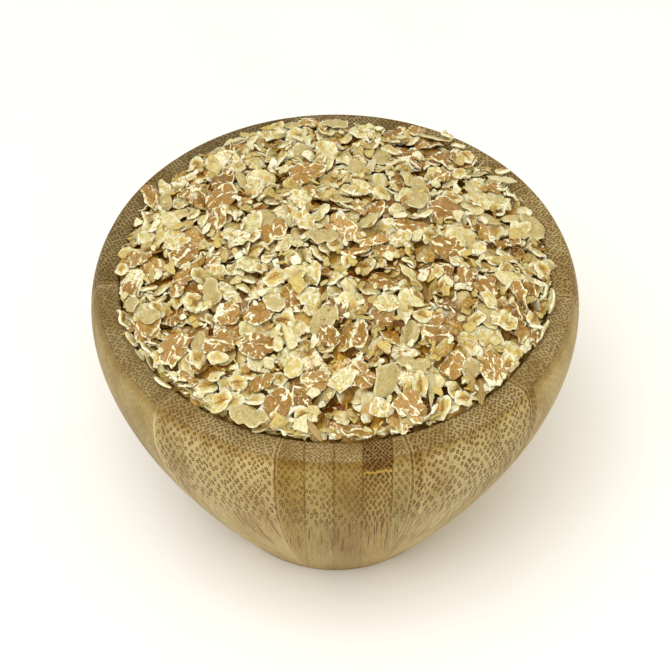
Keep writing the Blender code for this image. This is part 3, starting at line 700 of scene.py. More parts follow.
class Look:
    """A material in the making"""

    def __init__(self, name, roughness, specular, glow=0.0):
        self.material = bpy.data.materials.new(name)
        self.material.use_nodes = True
        self.tree = self.material.node_tree
        self.inputs = self.tree.nodes["Principled BSDF"].inputs
        self.inputs["Roughness"].default_value = roughness
        self.inputs["Specular IOR Level"].default_value = specular
        self.inputs["Subsurface Weight"].default_value = glow
        self.inputs["Subsurface Radius"].default_value = GLOW_RADII
        self.inputs["Subsurface Scale"].default_value = GLOW_REACH

    def stored(self, name, output="Fac"):
        """The values that the mesh holds under this name"""
        return add_node(self.tree, "ShaderNodeAttribute", {}, output, attribute_name=name)

    def place(self):
        """Each point's place, in metres"""
        return add_node(self.tree, "ShaderNodeTexCoord", {}, "Object")

    def paint_depth_shade(self, colour, most=1.0):
        """The colour with painted shade: warmer and darker where the flakes lie down in the heap"""
        return tint(self.stored("sunk").step(0.12, 0.75) * most, colour, PAINTED_DEPTH_SHADE)

    def finish(self, colour, height=None, relief=0.0006, strength=0.8, roughness=None):
        """Sets the colour, and where given the bumps (0 to 1, this many metres deep) and the roughness"""
        feed(self.inputs["Base Color"], colour)
        if roughness is not None:
            feed(self.inputs["Roughness"], roughness)
        if height is not None:
            feeds = {"Strength": strength, "Distance": relief, "Height": height}
            feed(self.inputs["Normal"], add_node(self.tree, "ShaderNodeBump", feeds))
        return self.material


# ---------------------------------------------------------------- bowl


STAVE_JOINTS = (-7.5, 33.0, 68.0, 101.0, 134.0, 183.2, 225.5, 256.4, 287.3, 320.0)  # degrees from +X
STAVE_EDGES = (*STAVE_JOINTS, STAVE_JOINTS[0] + 360.0)
LEFT_STAVE = 4
PLAIN_LEFT_STAVE = 5  # its wall and the last stave's show few rings
FRONT_STAVE = 7
LAST_STAVE = 9
FRONT_FACES = 270.0  # the front stave's own direction
JOINT_GROOVE = 0.00005
COLUMNS_A_STAVE = 28
STRIP_WIDTH = 6.7  # mm
STRIP_SHIFT = 0.3
DENSE_STRIP = 1.0  # the front stave's strip with the most rings
LABELS_A_STAVE = 16.0  # each strip's label is its own number, and this many more for each stave
OTHER_CHANCE = 0.37  # added to a label or a stave's number, these give it another random number
STAVE_CHANCE = 3.7
HALF_TURNED = 0.7071  # keeps the scale where a pattern is turned by 45 degrees
FRONT_RISE = math.radians(63.0)  # the fibres run outward and up at this angle in the front stave
SIDE_RISE = math.radians(58.0)  # and in the others


def stave_azimuths():
    """Where the bowl's mesh has its columns: evenly between the joints. Also each column's stave."""
    staves = zip(STAVE_EDGES, STAVE_EDGES[1:])
    spans = [np.linspace(start, end, COLUMNS_A_STAVE, endpoint=False) for start, end in staves]
    return np.radians(np.concatenate(spans)), np.repeat(np.arange(len(STAVE_JOINTS)), COLUMNS_A_STAVE)


def stave_places(points, staves):
    """In millimetres, in each stave's own frame: along the rim, across the fibres in height, along them."""
    edges = np.radians(STAVE_EDGES)
    facing = (edges[1:] + edges[:-1]) / 2.0
    facing[FRONT_STAVE] = math.radians(FRONT_FACES)
    facing = facing[staves][:, None]
    x, y, z = (points[..., i] * 1000.0 for i in range(3))
    aside = -np.sin(facing) * x + np.cos(facing) * y
    out = np.cos(facing) * x + np.sin(facing) * y
    rise = np.where(staves == FRONT_STAVE, FRONT_RISE, SIDE_RISE)[:, None]
    c, s = np.cos(rise), np.sin(rise)
    return np.stack([aside, z * c - out * s, out * c + z * s], -1)


def joint_distances(points, staves):
    """In millimetres, how far each point is from the joint before its stave and from the one after it."""
    edges = np.radians(STAVE_EDGES)
    x, y = points[..., 0] * 1000.0, points[..., 1] * 1000.0
    before, after = edges[staves][:, None], edges[staves + 1][:, None]
    return np.stack([np.cos(before) * y - np.sin(before) * x, np.sin(after) * x - np.cos(after) * y], -1)


def build_bowl():
    """The turned bowl, with a fine groove at each joint. Each face knows its stave and its place in it."""
    profile = bowl_profile()
    azimuths, staves = stave_azimuths()
    radii, heights = profile[:, 0][:, None], profile[:, 1][:, None]
    near_joint = (np.arange(len(azimuths)) % COLUMNS_A_STAVE == 0) * JOINT_GROOVE
    radii = radii - near_joint * (heights > FOOT_EDGE_ROUND) * (radii > RIM_OUTER_RADIUS / 2.0)
    rings = np.stack([radii * np.cos(azimuths), radii * np.sin(azimuths), heights + 0.0 * radii], -1)
    points = np.concatenate([[(0.0, 0.0, 0.0)], rings.reshape(-1, 3), [(0.0, 0.0, FLOOR_THICKNESS)]])
    faces = grid_faces(len(profile), len(azimuths))[:, ::-1]
    bowl = new_mesh("bowl_wood", points, faces, {})

    # a face belongs to the stave of its first column; the last face of a ring closes on column 0
    column = (faces - 1) % len(azimuths)
    inner = (faces > 0) & (faces < len(points) - 1)
    low = np.where(inner, column, len(azimuths)).min(1)
    high = np.where(inner, column, -1).max(1)
    first_column = np.where((low == 0) & (high == len(azimuths) - 1), high, low)
    face_staves = staves[first_column]
    corners = points[faces]
    add_values(bowl.data, "stave_place", "CORNER", stave_places(corners, face_staves).reshape(-1, 3))
    joints = joint_distances(corners, face_staves)
    number = np.broadcast_to(face_staves[:, None], faces.shape)
    add_values(bowl.data, "joints", "CORNER", np.concatenate([joints, number[..., None]], -1).reshape(-1, 3))

    # unwrapped as a strip: round the bowl, and along its outline from the foot to the cavity's floor
    around = np.where(column < first_column[:, None], len(azimuths), column)
    around = np.where(inner, around, first_column[:, None])
    along = np.concatenate([[0.0], np.cumsum(np.hypot(*np.diff(profile, axis=0).T))])
    along = np.concatenate([[0.0], np.repeat(along + FOOT_RADIUS, len(azimuths)), [along[-1] + FOOT_RADIUS]])
    upward = along[faces] / (along[-1] + CAVITY_FLOOR_RADIUS)
    add_unwrap(bowl.data, np.stack([around / len(azimuths), upward], -1))
    bowl.data.materials.append(bamboo_material())
    return bowl


# Heights on the bowl's outside, in metres
RIM_STARTS = 0.0788
RIM_WHOLE = 0.0797
RINGS_FADE_FROM = 0.059
RINGS_FADE_TO = 0.046
FOOT_RINGS_FADE = (0.010, 0.030)  # the last faint rings fade downwards between these
STREAKS_TOP = (0.061, 0.053)
STREAKS_BASE = (0.026, 0.038)
PALE_FOOT = (0.036, 0.010)  # the wall gets paler between these
PALE_JOINT_END = (0.0785, 0.0750)
RIM_EDGE_SHADE_START = (0.0764, 0.0786)  # a band of painted shade, darker and yellower, round the rim's edge starts between these
RIM_EDGE_SHADE_END = (0.0799, 0.0792)
NODE_LINE_HEIGHT = 0.0765  # a culm's node that crosses one strip of the front
NODE_LINE_WAVE = 0.0022
NODE_LINE_HALF = (0.00032, 0.00014)
ABOVE_NODE = 0.0008
DARK_FROM = 0.070  # towards the node the rings get darker

# Spacing of the fibre bundles, in mm
WALL_RINGS = 1.10
DENSE_RINGS = 0.84
RIM_RINGS = 0.68
LEFT_DENSE = 7.0  # dense along the left stave's end, and along the last one's start
RIGHT_DENSE = 2.4

BAMBOO_LIGHT = linear(190, 170, 118)
BAMBOO_MID = linear(181, 160, 105)
BAMBOO_DARK = linear(154, 126, 72)
BAMBOO_GREY = linear(178, 162, 116)
BAMBOO_BASE = linear(170, 147, 96)
BAMBOO_PALE = linear(226, 204, 146)
FRONT_TONES = (  # the front stave's strips: where each starts along the ramp, and its colour
    (0.0, linear(160, 136, 76)),
    (0.375, linear(163, 143, 89)),
    (0.5, linear(154, 131, 76)),
    (0.625, linear(163, 139, 82)),
    (0.75, linear(161, 144, 91)),
)
RIM_WOOD = linear(162, 144, 105)
RING_BROWN = linear(84, 58, 2)
RING_DARK = linear(48, 20, 0)
STREAK_BROWN = linear(102, 58, 10)
NODE_GOLD = linear(186, 148, 62)
STAVE_SHADES = (1.0, 0.84, 0.68, 0.53, 0.68, 0.80, 0.97, 0.98, 0.97, 0.92)  # each stave's lightness


class StaveFields:
    """The places and chances that all of the bowl's marks are worked out from."""

    def __init__(self, look):
        self.place = look.stored("stave_place", "Vector")
        self.aside, self.across, self.along = self.place.axes()
        self.before, self.after, self.stave = look.stored("joints", "Vector").axes()
        self.height = look.place().axes()[2]
        self.rim = self.height.step(RIM_STARTS, RIM_WHOLE)
        self.fade = self.height.step(RINGS_FADE_TO, RINGS_FADE_FROM)
        self.strips = (self.aside + STRIP_SHIFT) * (1.0 / STRIP_WIDTH)
        self.within = (self.strips + 100.0).math("FRACT")
        strip = self.strips.math("FLOOR")
        self.label = strip + self.stave * LABELS_A_STAVE
        self.chance = self.label.scatter()
        self.other_chance = (self.label + OTHER_CHANCE).scatter()
        self.in_front = self.stave.near(FRONT_STAVE)
        self.front_dense = self.in_front * strip.near(DENSE_STRIP)
        left_dense = self.stave.near(LEFT_STAVE) * self.after.step(LEFT_DENSE, 0.0)
        by_last_joint = self.stave.near(LAST_STAVE - 0.5, 0.6)
        self.right_dense = by_last_joint * self.before.step(RIGHT_DENSE + 0.3, RIGHT_DENSE)
        self.dense = self.front_dense.most(left_dense.most(self.right_dense))


def strip_tones(at):
    """The strips' own colours: by chance, or on the front stave as seen. The rim's end grain is greyer."""
    by_chance = (at.stave + STAVE_CHANCE).scatter() * 0.7 + at.chance * 0.3
    wood = by_chance.ramp(((0.0, BAMBOO_MID), (0.5, BAMBOO_LIGHT), (1.0, BAMBOO_GREY)))
    wood = mix(at.in_front, wood, (at.strips * 0.125 + 0.5).ramp(FRONT_TONES, "CONSTANT"))
    wood = mix(at.right_dense * 0.6, wood, BAMBOO_DARK)
    return mix(at.rim * 0.75, wood, RIM_WOOD)


def ring_marks(place, spacing, randomness, reach):
    """Rings over a flat pattern of scattered points: the rings, their filled middles and their centres."""
    far = place.cells(1.0 / spacing, randomness=randomness)
    ring = far.step(reach + 0.04, reach - 0.04) * far.step(0.04, 0.12)
    return ring, far.step(reach - 0.10, reach - 0.22), far.step(0.15, 0.04)


def fibre_rings(at):
    """The fibre bundles cut across: rings and their light centres, denser on one side of each strip."""
    bent = at.place.warp(0.12, 1.0, 0.8).axes()
    size = (at.other_chance - 0.5) * 0.15 + 0.84 + at.in_front * 0.10
    first, second = bent[0] * size, bent[1] * size
    slant, other_slant = first + second + at.label * 7.3, first - second + at.label * 3.1
    own = join(slant, other_slant, 0.0).stretch(HALF_TURNED, HALF_TURNED, 0.0)
    patchy = at.place.noise(0.22, 3.0)
    one_side = (at.within + (patchy - 0.5) * 1.2).step(0.60, 0.80)
    crowded = at.dense.most(one_side * at.other_chance.step(0.25, 0.4))
    wide = ring_marks(own, WALL_RINGS, 0.46, 0.31)
    close = ring_marks(own, DENSE_RINGS, 0.40, 0.36)
    top = ring_marks(own, RIM_RINGS, 0.50, 0.36)
    on_wall = [mix(crowded, *marks) for marks in zip(wide, close)]
    ring, filled, centre = (mix(at.rim, *marks) for marks in zip(on_wall, top))

    ring = ring.most(filled * (at.dense * 0.6))
    depth = patchy.step(0.32, 0.60) * 0.16 + 0.84
    ring = ring * depth.most(at.dense).most(at.rim * 0.95)
    ring = ring * (at.height.step(*FOOT_RINGS_FADE) * 0.30 + at.fade * 0.70)
    plain = at.stave.near(PLAIN_LEFT_STAVE).most(at.stave.near(LAST_STAVE))
    plain = plain * (1.0 - at.rim.most(at.dense) * 0.8)
    return ring * (1.0 - plain * 0.7), centre


def fibre_streaks(at):
    """The fibre bundles cut along: thin streaks below the rings, where the wall runs along the fibres."""
    place = join(at.aside * 1.15 + at.label * 5.7, at.height * 26.0, 0.0)
    streak = place.cells(1.0, randomness=0.9).step(0.25, 0.14) * place.noise(0.9, 0.0).step(0.40, 0.52)
    zone = at.height.step(*STREAKS_TOP) * at.height.step(*STREAKS_BASE)
    return streak * zone * (at.chance * 0.2 + 0.8)


def glue_lines(at, wood):
    """Dark dashes between the strips, and between the staves a dark line with a pale one beside it."""
    dashes = join(at.label, at.across * 1.1, 0.0).noise(1.0, 1.0).step(0.42, 0.56) * at.fade
    line = at.within.least(1.0 - at.within).step(0.050, 0.020) * (dashes * 0.6 + 0.2)
    line = line * (at.in_front * 0.88 + 0.12)
    nearest = at.before.least(at.after)
    wood = mix(nearest.step(0.80, 0.50) * nearest.step(0.24, 0.44) * 0.45, wood, BAMBOO_LIGHT)
    pale_joint = at.stave.near(PLAIN_LEFT_STAVE) * at.after.step(1.0, 0.6) * at.height.step(*PALE_JOINT_END)
    wood = mix(pale_joint * 0.75, wood, BAMBOO_PALE)
    joint = nearest.step(0.40, 0.14) * (dashes * 0.4 + 0.2)
    joint = joint * (1.0 - at.stave.near(PLAIN_LEFT_STAVE + 0.5, 0.6) * 0.8)
    return mix(line.most(joint), wood, STREAK_BROWN), line


def culm_node(at, wood):
    """The node that crosses the front's dense strip: a golden line, and darker wood above it."""
    wave = join(at.aside * 0.5, 0.0, 0.0).noise(1.0, 1.0) - 0.5
    off = (at.height - wave * NODE_LINE_WAVE - NODE_LINE_HEIGHT).math("ABSOLUTE")
    above = at.height.step(NODE_LINE_HEIGHT, NODE_LINE_HEIGHT + ABOVE_NODE) * at.front_dense
    wood = tint(above * 0.60, wood, linear(190, 158, 112))
    return mix(off.step(*NODE_LINE_HALF) * at.front_dense * 0.7, wood, NODE_GOLD)


def bamboo_material():
    """Glued bamboo strips: tones for each strip, and fibre bundles that show as rings, dots and streaks."""
    look = Look("bamboo", 0.45, 0.08)
    at = StaveFields(look)
    wood = strip_tones(at)
    slow = at.place.stretch(0.12, 0.12, 0.03).noise(1.0)
    wood = tint(slow.step(0.35, 0.75), wood, linear(216, 204, 182))
    grain = join(at.aside * 3.4, at.across * 3.4, at.along * 0.16).noise(1.0)
    wood = tint(grain.step(0.45, 0.75), wood, linear(240, 230, 212))

    ring, centre = fibre_rings(at)
    dark = at.front_dense * at.height.step(DARK_FROM, NODE_LINE_HEIGHT)
    wood = mix(centre * at.fade * 0.45, wood, BAMBOO_PALE)
    wood = mix(ring * (dark * 0.05 + 0.94), wood, mix(dark, RING_BROWN, RING_DARK))
    wood = mix(fibre_streaks(at), wood, STREAK_BROWN)
    wood = mix(at.height.step(*PALE_FOOT) * 0.45, wood, BAMBOO_BASE)
    wood, line = glue_lines(at, wood)
    wood = culm_node(at, wood)

    # each stave has its own lightness, and a band round the rim's edge is painted darker and yellower as its
    # shade
    middles = [0.1 * i - 0.05 * (i > 0) for i in range(len(STAVE_SHADES))]
    shades = [(place, (shade, shade, shade, 1.0)) for place, shade in zip(middles, STAVE_SHADES)]
    wood = tint(1.0, wood, (at.stave * 0.1).ramp(shades, "CONSTANT"))
    rim_edge_shade = at.height.step(*RIM_EDGE_SHADE_START) * at.height.step(*RIM_EDGE_SHADE_END)
    wood = tint(rim_edge_shade * 0.55, wood, linear(208, 186, 130))
    rough = grain.step(0.3, 0.8) * 0.12 + 0.44
    return look.finish(wood, (ring + line) * -0.5, relief=0.00006, strength=0.5, roughness=rough)


# ---------------------------------------------------------------- heap


# How each kind is meshed: rings on top, rings below, points round. Then its torn corners, how uneven they
# are and how ragged the edge is between them, its notches, and in metres how far it curls and waves, how
# high its bumps are and how deep its crease is
FlakeForm = namedtuple("FlakeForm", "over under around corners torn ragged notches curl wave bump crease")
FLAKE_FORMS = {
    "wheat": FlakeForm(7, 2, 34, 9, 0.10, 0.026, 3, 0.00066, 0.00018, 0.00007, 0.00030),
    "oat": FlakeForm(5, 1, 22, 8, 0.08, 0.018, 2, 0.00052, 0.00013, 0.00006, 0.00026),
    "barley": FlakeForm(6, 2, 28, 8, 0.12, 0.028, 3, 0.00056, 0.00018, 0.00010, 0.00020),
    "rice": FlakeForm(5, 1, 26, 9, 0.06, 0.010, 1, 0.00054, 0.00016, 0.00003, 0.0),
    "husk": FlakeForm(3, 1, 18, 7, 0.09, 0.024, 1, 0.00070, 0.00014, 0.00003, 0.00010),
    "bit": FlakeForm(2, 1, 12, 5, 0.24, 0.040, 1, 0.00030, 0.00010, 0.00005, 0.0),
    "crumb": FlakeForm(2, 1, 8, 5, 0.20, 0.040, 0, 0.00010, 0.00004, 0.00008, 0.0),
}
LOOK_SEED = 771
EDGE_BEND = 0.0002
CALM_CURL = 0.45  # the flakes laid one by one curl less
RING_CROWDING = 1.25  # the rings on top crowd towards the edge
EDGE_SHARES = (0.975, 1.0, 1.0)  # the last ring on top and the two of the edge
EDGE_SIDES = (0.45, -0.45)  # the edge's two, over half the thickness
UNDER_SHARE = 0.93  # the first ring below
CORNER_SHIFT = 0.35
EDGE_WAVES = (7, 15)
NOTCH_DEPTH = (0.04, 0.20)
NOTCH_WIDTH = (0.10, 0.22)
WAVES = 3
WAVE_PERIOD = (0.0025, 0.0055)
BUMPS = 6
BUMP_PERIOD = (0.0010, 0.0024)
CREASE_WIDTH = 0.0005
THIN_EDGE = 0.6  # the edge is thinner by this share
SHADED_DEPTH = 0.0040  # flakes this far down get the full painted shade, warmest and darkest
FULL_TURN = 2.0 * math.pi

BIT_KINDS = ("oat", "barley", "husk", "husk", "rice", "wheat")
BITS = 740
BIT_COVER = 0.0006  # the bits fill up to this far above the heap's surface
BIT_SHARE = (0.24, 0.60)  # of a whole flake's length and width
BIT_THICKNESS = 0.45  # and of its thickness
EDGE_SLIVERS = 440
SLIVERS_IN_FRONT = 0.6  # share of the slivers that are all in the front half
SLIVER_DROP = (-0.0020, 0.0034)  # below the rim
SLIVER_INSET = (0.0008, 0.0018)  # from the wall
SLIVER_LENGTH = (0.0026, 0.0056)
SLIVER_WIDTH = (0.0014, 0.0026)
SLIVER_THICKNESS = (0.0003, 0.0005)
SLIVER_SLOPE = (0.3, 2.2)
CRUMBS = 480
CRUMB_INSET = 0.0015
CRUMB_SHORTEST = 0.0008
CRUMB_SPREAD = 0.0018
CRUMB_WIDTH = (0.35, 0.9)  # over its length
CRUMB_THICKNESS = (0.12, 0.35)

CORE_RINGS = 70
CORE_COLUMNS = 180
CORE_CLEAR = 0.0007  # the core's top stays this far under the lowest flake around
CORE_REACH = 5  # grid steps


def flake_grid(form):
    """The grid of a flake's points: share of the way out, side and angle at each. Also its faces."""
    over = 1.0 - (1.0 - np.arange(1, form.over + 1) / (form.over + 1.0)) ** RING_CROWDING
    under = np.linspace(UNDER_SHARE, 0.0, form.under + 2)[:-1]
    shares = np.concatenate([over, EDGE_SHARES, under])
    sides = np.concatenate([np.ones(form.over + 1), EDGE_SIDES, -np.ones(form.under + 1)])
    angles = np.arange(form.around) * (FULL_TURN / form.around)
    faces = grid_faces(len(shares), form.around)[:, ::-1]
    turns = np.concatenate([[0.0], np.tile(angles, len(shares)), [0.0]])
    shares = np.concatenate([[0.0], np.repeat(shares, form.around), [0.0]])
    sides = np.concatenate([[1.0], np.repeat(sides, form.around), [-1.0]])
    return shares, sides, turns, faces


def torn_outline(turns, corners, uneven, random):
    """A polygon's radius at each angle, about 1, its corners at uneven angles and distances."""
    spread = FULL_TURN / corners
    shifts = random.uniform(-CORNER_SHIFT, CORNER_SHIFT, corners)
    places = (np.arange(corners) + shifts) * spread
    places = places + random.uniform(0.0, spread)
    nearness = 1.0 / (1.0 + random.normal(0.04, uneven, corners))
    before = (np.searchsorted(places, (turns - places[0]) % FULL_TURN + places[0], "right") - 1) % corners
    after = (before + 1) % corners
    into = (turns - places[before]) % FULL_TURN
    span = (places[after] - places[before]) % FULL_TURN
    return np.sin(span) / (nearness[before] * np.sin(span - into) + nearness[after] * np.sin(into))


def ragged_reach(flake, form, shares, turns, random):
    """How far the flake reaches at each point of its grid's rays: torn corners, raggedness and notches."""
    torn = torn_outline(turns, form.corners, form.torn, random)
    reach = outline_radius(flake, turns) * (1.0 + shares * (torn - 1.0))
    waves = np.arange(*EDGE_WAVES)
    heights = random.normal(0.0, form.ragged, len(waves)) * float(EDGE_WAVES[0]) / waves
    phases = random.uniform(0.0, FULL_TURN, len(waves))
    reach = reach * (1.0 + shares**3 * (heights * np.cos(np.multiply.outer(turns, waves) + phases)).sum(-1))
    for _ in range(form.notches):
        where = random.uniform(0.0, FULL_TURN)
        deep = random.uniform(*NOTCH_DEPTH)
        wide = random.uniform(*NOTCH_WIDTH)
        off = np.abs((turns - where + math.pi) % FULL_TURN - math.pi)
        reach = reach * (1.0 - shares**4 * deep * np.exp(-((off / wide) ** 2)))
    return reach


def random_wave(a, b, periods, random):
    """The phase of a straight wave across the flake, with a random heading and period."""
    heading, period = random.uniform(0.0, math.pi), random.uniform(*periods)
    return (a * math.cos(heading) + b * math.sin(heading)) * FULL_TURN / period


def flake_points(flake, form, shares, sides, turns, random):
    """One flake's points in its own plane, its middle at the origin."""
    reach = ragged_reach(flake, form, shares, turns, random) * shares
    a, b = np.cos(turns) * reach, np.sin(turns) * reach
    x, y = 2.0 * a / flake.length, 2.0 * b / flake.width
    bends = random.normal(0.0, 0.6, 3) * form.curl
    middle = bends[0] * (x * x - 0.4) + bends[1] * (y * y - 0.4) + bends[2] * x * y
    for _ in range(WAVES):
        ripple = random_wave(a, b, WAVE_PERIOD, random)
        middle = middle + form.wave * random.normal() * np.cos(ripple + random.uniform(0.0, FULL_TURN))
    relief = np.zeros(len(a))
    for _ in range(BUMPS):
        ripple = random_wave(a, b, BUMP_PERIOD, random)
        relief += form.bump * random.normal(0.0, 0.55) * np.cos(ripple + random.uniform(0.0, FULL_TURN))
    crease = form.crease * random.uniform(0.2, 1.0) * np.exp(-((b / CREASE_WIDTH) ** 2)) * (np.abs(x) < 0.75)
    half = flake.thickness / 2.0 * (1.0 - THIN_EDGE * shares**3)
    z = middle + sides * half + (relief - crease) * (0.3 + 0.7 * (sides > 0.9))
    return np.column_stack([a, b, z])


def flake_values(flake, points, shares, typical, random):
    """What the flake's material reads at each point. A typical flake is never among its kind's odd ones."""
    seed = random.uniform(-50.0, 50.0, 3)
    local = points[:, :2] * 1000.0
    lean = random.uniform(0.0, FULL_TURN)
    reach = flake.length * 500.0
    tone, pale = random.uniform(), random.uniform()
    if typical:
        tone, pale = 0.3 + 0.35 * tone, 0.45 + 0.2 * pale
    count = len(points)
    return {
        "flake_local": np.column_stack([local + seed[:2], np.full(count, seed[2])]),
        "edge": shares,
        "off_axis": local[:, 1],
        "side": (local[:, 0] * math.cos(lean) + local[:, 1] * math.sin(lean)) / reach,
        "tone": np.full(count, tone),
        "pale": np.full(count, pale),
    }


def local_unwrap(clouds, flakes, faces):
    """Places in a flat picture: each flake's own plane in a square of its own."""
    across = math.ceil(math.sqrt(len(clouds)))
    places = []
    for index, (cloud, flake) in enumerate(zip(clouds, flakes)):
        flat = (cloud - flake.place) @ flake.turn
        spread = flat[:, :2] / (2.2 * np.abs(flat[:, :2]).max()) + 0.5
        corner_place = np.array([index % across, index // across])
        places.append(((spread + corner_place) / across)[faces])
    return np.concatenate(places)


def press_in(points):
    """Bends what would cross the bowl or the top of the frame: up over the rim or in from the wall."""
    radius = np.hypot(points[:, 0], points[:, 1])
    limit = RIM_INNER_RADIUS - EDGE_BEND
    over = BOWL_HEIGHT + EDGE_BEND
    crosses = (radius > limit) & (points[:, 2] < over)
    rises = crosses & (over - points[:, 2] < radius - limit)
    share = np.where(crosses & ~rises, limit / np.maximum(radius, 1e-9), 1.0)
    z = np.where(rises, over, points[:, 2])
    return np.column_stack([points[:, :2] * share[:, None], np.minimum(z, cad_box[1][2] - 1e-6)])


def build_kind(name, kind, numbered, material, typical=()):
    """One piece of all these flakes, meshed as their kind is. Each flake's number seeds its details."""
    form = FLAKE_FORMS[kind]
    shares, sides, turns, faces = flake_grid(form)
    clouds, values = [], []
    for number, flake in numbered.items():
        random = np.random.default_rng((LOOK_SEED, number))
        calm = CALM_CURL if number in typical else 1.0
        flat = flake_points(flake, form._replace(curl=form.curl * calm), shares, sides, turns, random)
        values.append(flake_values(flake, flat, shares, number in typical, random))
        clouds.append(flat @ flake.turn.T + flake.place)
    points = press_in(np.concatenate(clouds))
    values = {key: np.concatenate([row[key] for row in values]) for key in values[0]}
    # how far down in the heap each point lies, which the materials paint as shade
    sunk = heap_surface(np.hypot(points[:, 0], points[:, 1])) - points[:, 2]
    values["sunk"] = np.clip(sunk / SHADED_DEPTH, 0.0, 1.0)
    all_faces = np.concatenate([faces + len(shares) * i for i in range(len(clouds))])
    piece = new_mesh(name, points, all_faces, values)
    add_unwrap(piece.data, local_unwrap(clouds, numbered.values(), faces))
    piece.data.materials.append(material)
    return piece


def random_bit(random):
    """A flake of the kinds that break up small."""
    return new_flake(random, BIT_KINDS[random.integers(len(BIT_KINDS))])


def settle_bits(terrain):
    """Broken bits of flakes that fill the gaps between them."""
    random = np.random.default_rng(LOOK_SEED + 1)
    terrain.bridged[:] = False
    bits = []
    while len(bits) < BITS:
        bit = random_bit(random)
        share = random.uniform(*BIT_SHARE)
        thickness = bit.thickness * BIT_THICKNESS
        bit = bit._replace(length=bit.length * share, width=bit.width * share, thickness=thickness)
        spot = terrain.low_spot(-BIT_COVER, random)
        if spot is None:
            break
        x, y = draw_in(*spot, RIM_INNER_RADIUS - FIT_GAP - 0.3 * bit.width)
        bit = terrain.rest(bit, x, y, random.uniform(0.0, FULL_TURN), random)
        if bit.place[2] > heap_surface(math.hypot(x, y)) + 2.0 * MOST_PROUD:
            terrain.bridge(*spot)
            continue
        terrain.add(bit, -1)
        bits.append(bit)
    return bits


def stand_slivers():
    """Thin slivers that stand on edge between the outermost flakes and the bowl's wall."""
    random = np.random.default_rng(LOOK_SEED + 2)
    slivers = []
    for _ in range(EDGE_SLIVERS):
        azimuth = random.uniform(-math.pi, 0.0 if random.uniform() < SLIVERS_IN_FRONT else math.pi)
        drop = random.uniform(*SLIVER_DROP)
        radius = RIM_INNER_RADIUS - random.uniform(*SLIVER_INSET) - 0.9 * max(drop, 0.0)
        length = random.uniform(*SLIVER_LENGTH)
        sliver = random_bit(random)
        width, thickness = random.uniform(*SLIVER_WIDTH), random.uniform(*SLIVER_THICKNESS)
        sliver = sliver._replace(length=length, width=width, thickness=thickness)
        spin = azimuth + math.pi / 2.0 + random.normal(0.0, 0.25)
        way = spin + math.pi / 2.0 * random.choice((-1.0, 1.0))
        slopes = np.array([[math.cos(way), math.sin(way)]]) * random.uniform(*SLIVER_SLOPE)
        place = np.array([radius * math.cos(azimuth), radius * math.sin(azimuth), BOWL_HEIGHT - drop])
        slivers.append(sliver._replace(place=place, turn=turn_matrices(slopes, spin)[0]))
    return slivers


def scatter_crumbs(terrain):
    """Crumbs that lie on the flakes."""
    random = np.random.default_rng(LOOK_SEED)
    crumbs = []
    while len(crumbs) < CRUMBS:
        x, y = random.uniform(-RIM_INNER_RADIUS, RIM_INNER_RADIUS, 2)
        if math.hypot(x, y) > RIM_INNER_RADIUS - CRUMB_INSET:
            continue
        length = CRUMB_SHORTEST + CRUMB_SPREAD * random.uniform() ** 2
        crumb = new_flake(random, "oat")
        width, thickness = length * random.uniform(*CRUMB_WIDTH), length * random.uniform(*CRUMB_THICKNESS)
        crumb = crumb._replace(length=length, width=width, thickness=thickness)
        slopes = random.normal(0.0, 0.55, (1, 2))
        turn = turn_matrices(slopes, random.uniform(0.0, FULL_TURN))[0]
        level = terrain.height[terrain.index(x), terrain.index(y)] + crumb.thickness * 0.35
        crumbs.append(crumb._replace(place=np.array([x, y, level]), turn=turn))
    return crumbs


def build_core(terrain):
    """The heap's filling under the loose flakes: closed, and only glimpsed through the gaps."""
    low = terrain.height.copy()
    low[~terrain.inside] = low[terrain.inside].max()
    for axis in (0, 1):
        shifted = [np.roll(low, step, axis) for step in range(-CORE_REACH, CORE_REACH + 1)]
        low = np.minimum.reduce(shifted)
    azimuths = np.arange(CORE_COLUMNS) * (FULL_TURN / CORE_COLUMNS)
    wall = cavity_wall(CAVITY_STEPS)[::-1]
    wall = wall[wall[:, 1] < BOWL_HEIGHT - LOOSE_DEPTH - 0.002]
    top_radii = np.linspace(RIM_INNER_RADIUS - FIT_GAP, 0.0, CORE_RINGS + 1)[:-1]
    radii = np.concatenate([wall[:, 0] - FIT_GAP, top_radii])[:, None]
    x, y = radii * np.cos(azimuths), radii * np.sin(azimuths)
    z = low[terrain.index(x), terrain.index(y)] - CORE_CLEAR
    z[: len(wall)] = np.maximum(wall[:, 1], FLOOR_THICKNESS + FIT_GAP)[:, None]
    foot = (0.0, 0.0, FLOOR_THICKNESS + FIT_GAP)
    peak = (0.0, 0.0, float(low[terrain.index(0.0), terrain.index(0.0)]) - CORE_CLEAR)
    points = np.concatenate([[foot], np.stack([x, y, z], -1).reshape(-1, 3), [peak]])
    core = new_mesh("heap_core", points, grid_faces(len(radii), CORE_COLUMNS)[:, ::-1], {})
    core.data.materials.append(core_material())
    return core


STARCH = linear(251, 248, 226)
CREAM = linear(221, 216, 176)
CREAM_YELLOW = linear(205, 186, 110)
GOLD = linear(196, 156, 68)
GOLD_BROWN = linear(156, 114, 42)
BRAN_LIGHT = linear(202, 164, 92)
BRAN = linear(164, 124, 54)
BRAN_DARK = linear(128, 88, 30)
OLIVE_PALE = linear(196, 181, 126)
OLIVE = linear(172, 153, 98)
STRAW = linear(182, 160, 94)
STRAW_DARK = linear(138, 105, 50)
# the core's colours are painted shade: dark warm tans for the depths between the flakes
FILLING_SHADE_LIGHT = linear(160, 124, 58)
FILLING_SHADE_DARK = linear(116, 80, 26)
CRUMB_TONES = (
    (0.0, STARCH),
    (0.36, CREAM),
    (0.60, CREAM_YELLOW),
    (0.78, OLIVE_PALE),
    (0.90, STRAW),
    (0.97, BRAN),
)
FLAKE_GLOW = 0.4  # the flakes let some light through


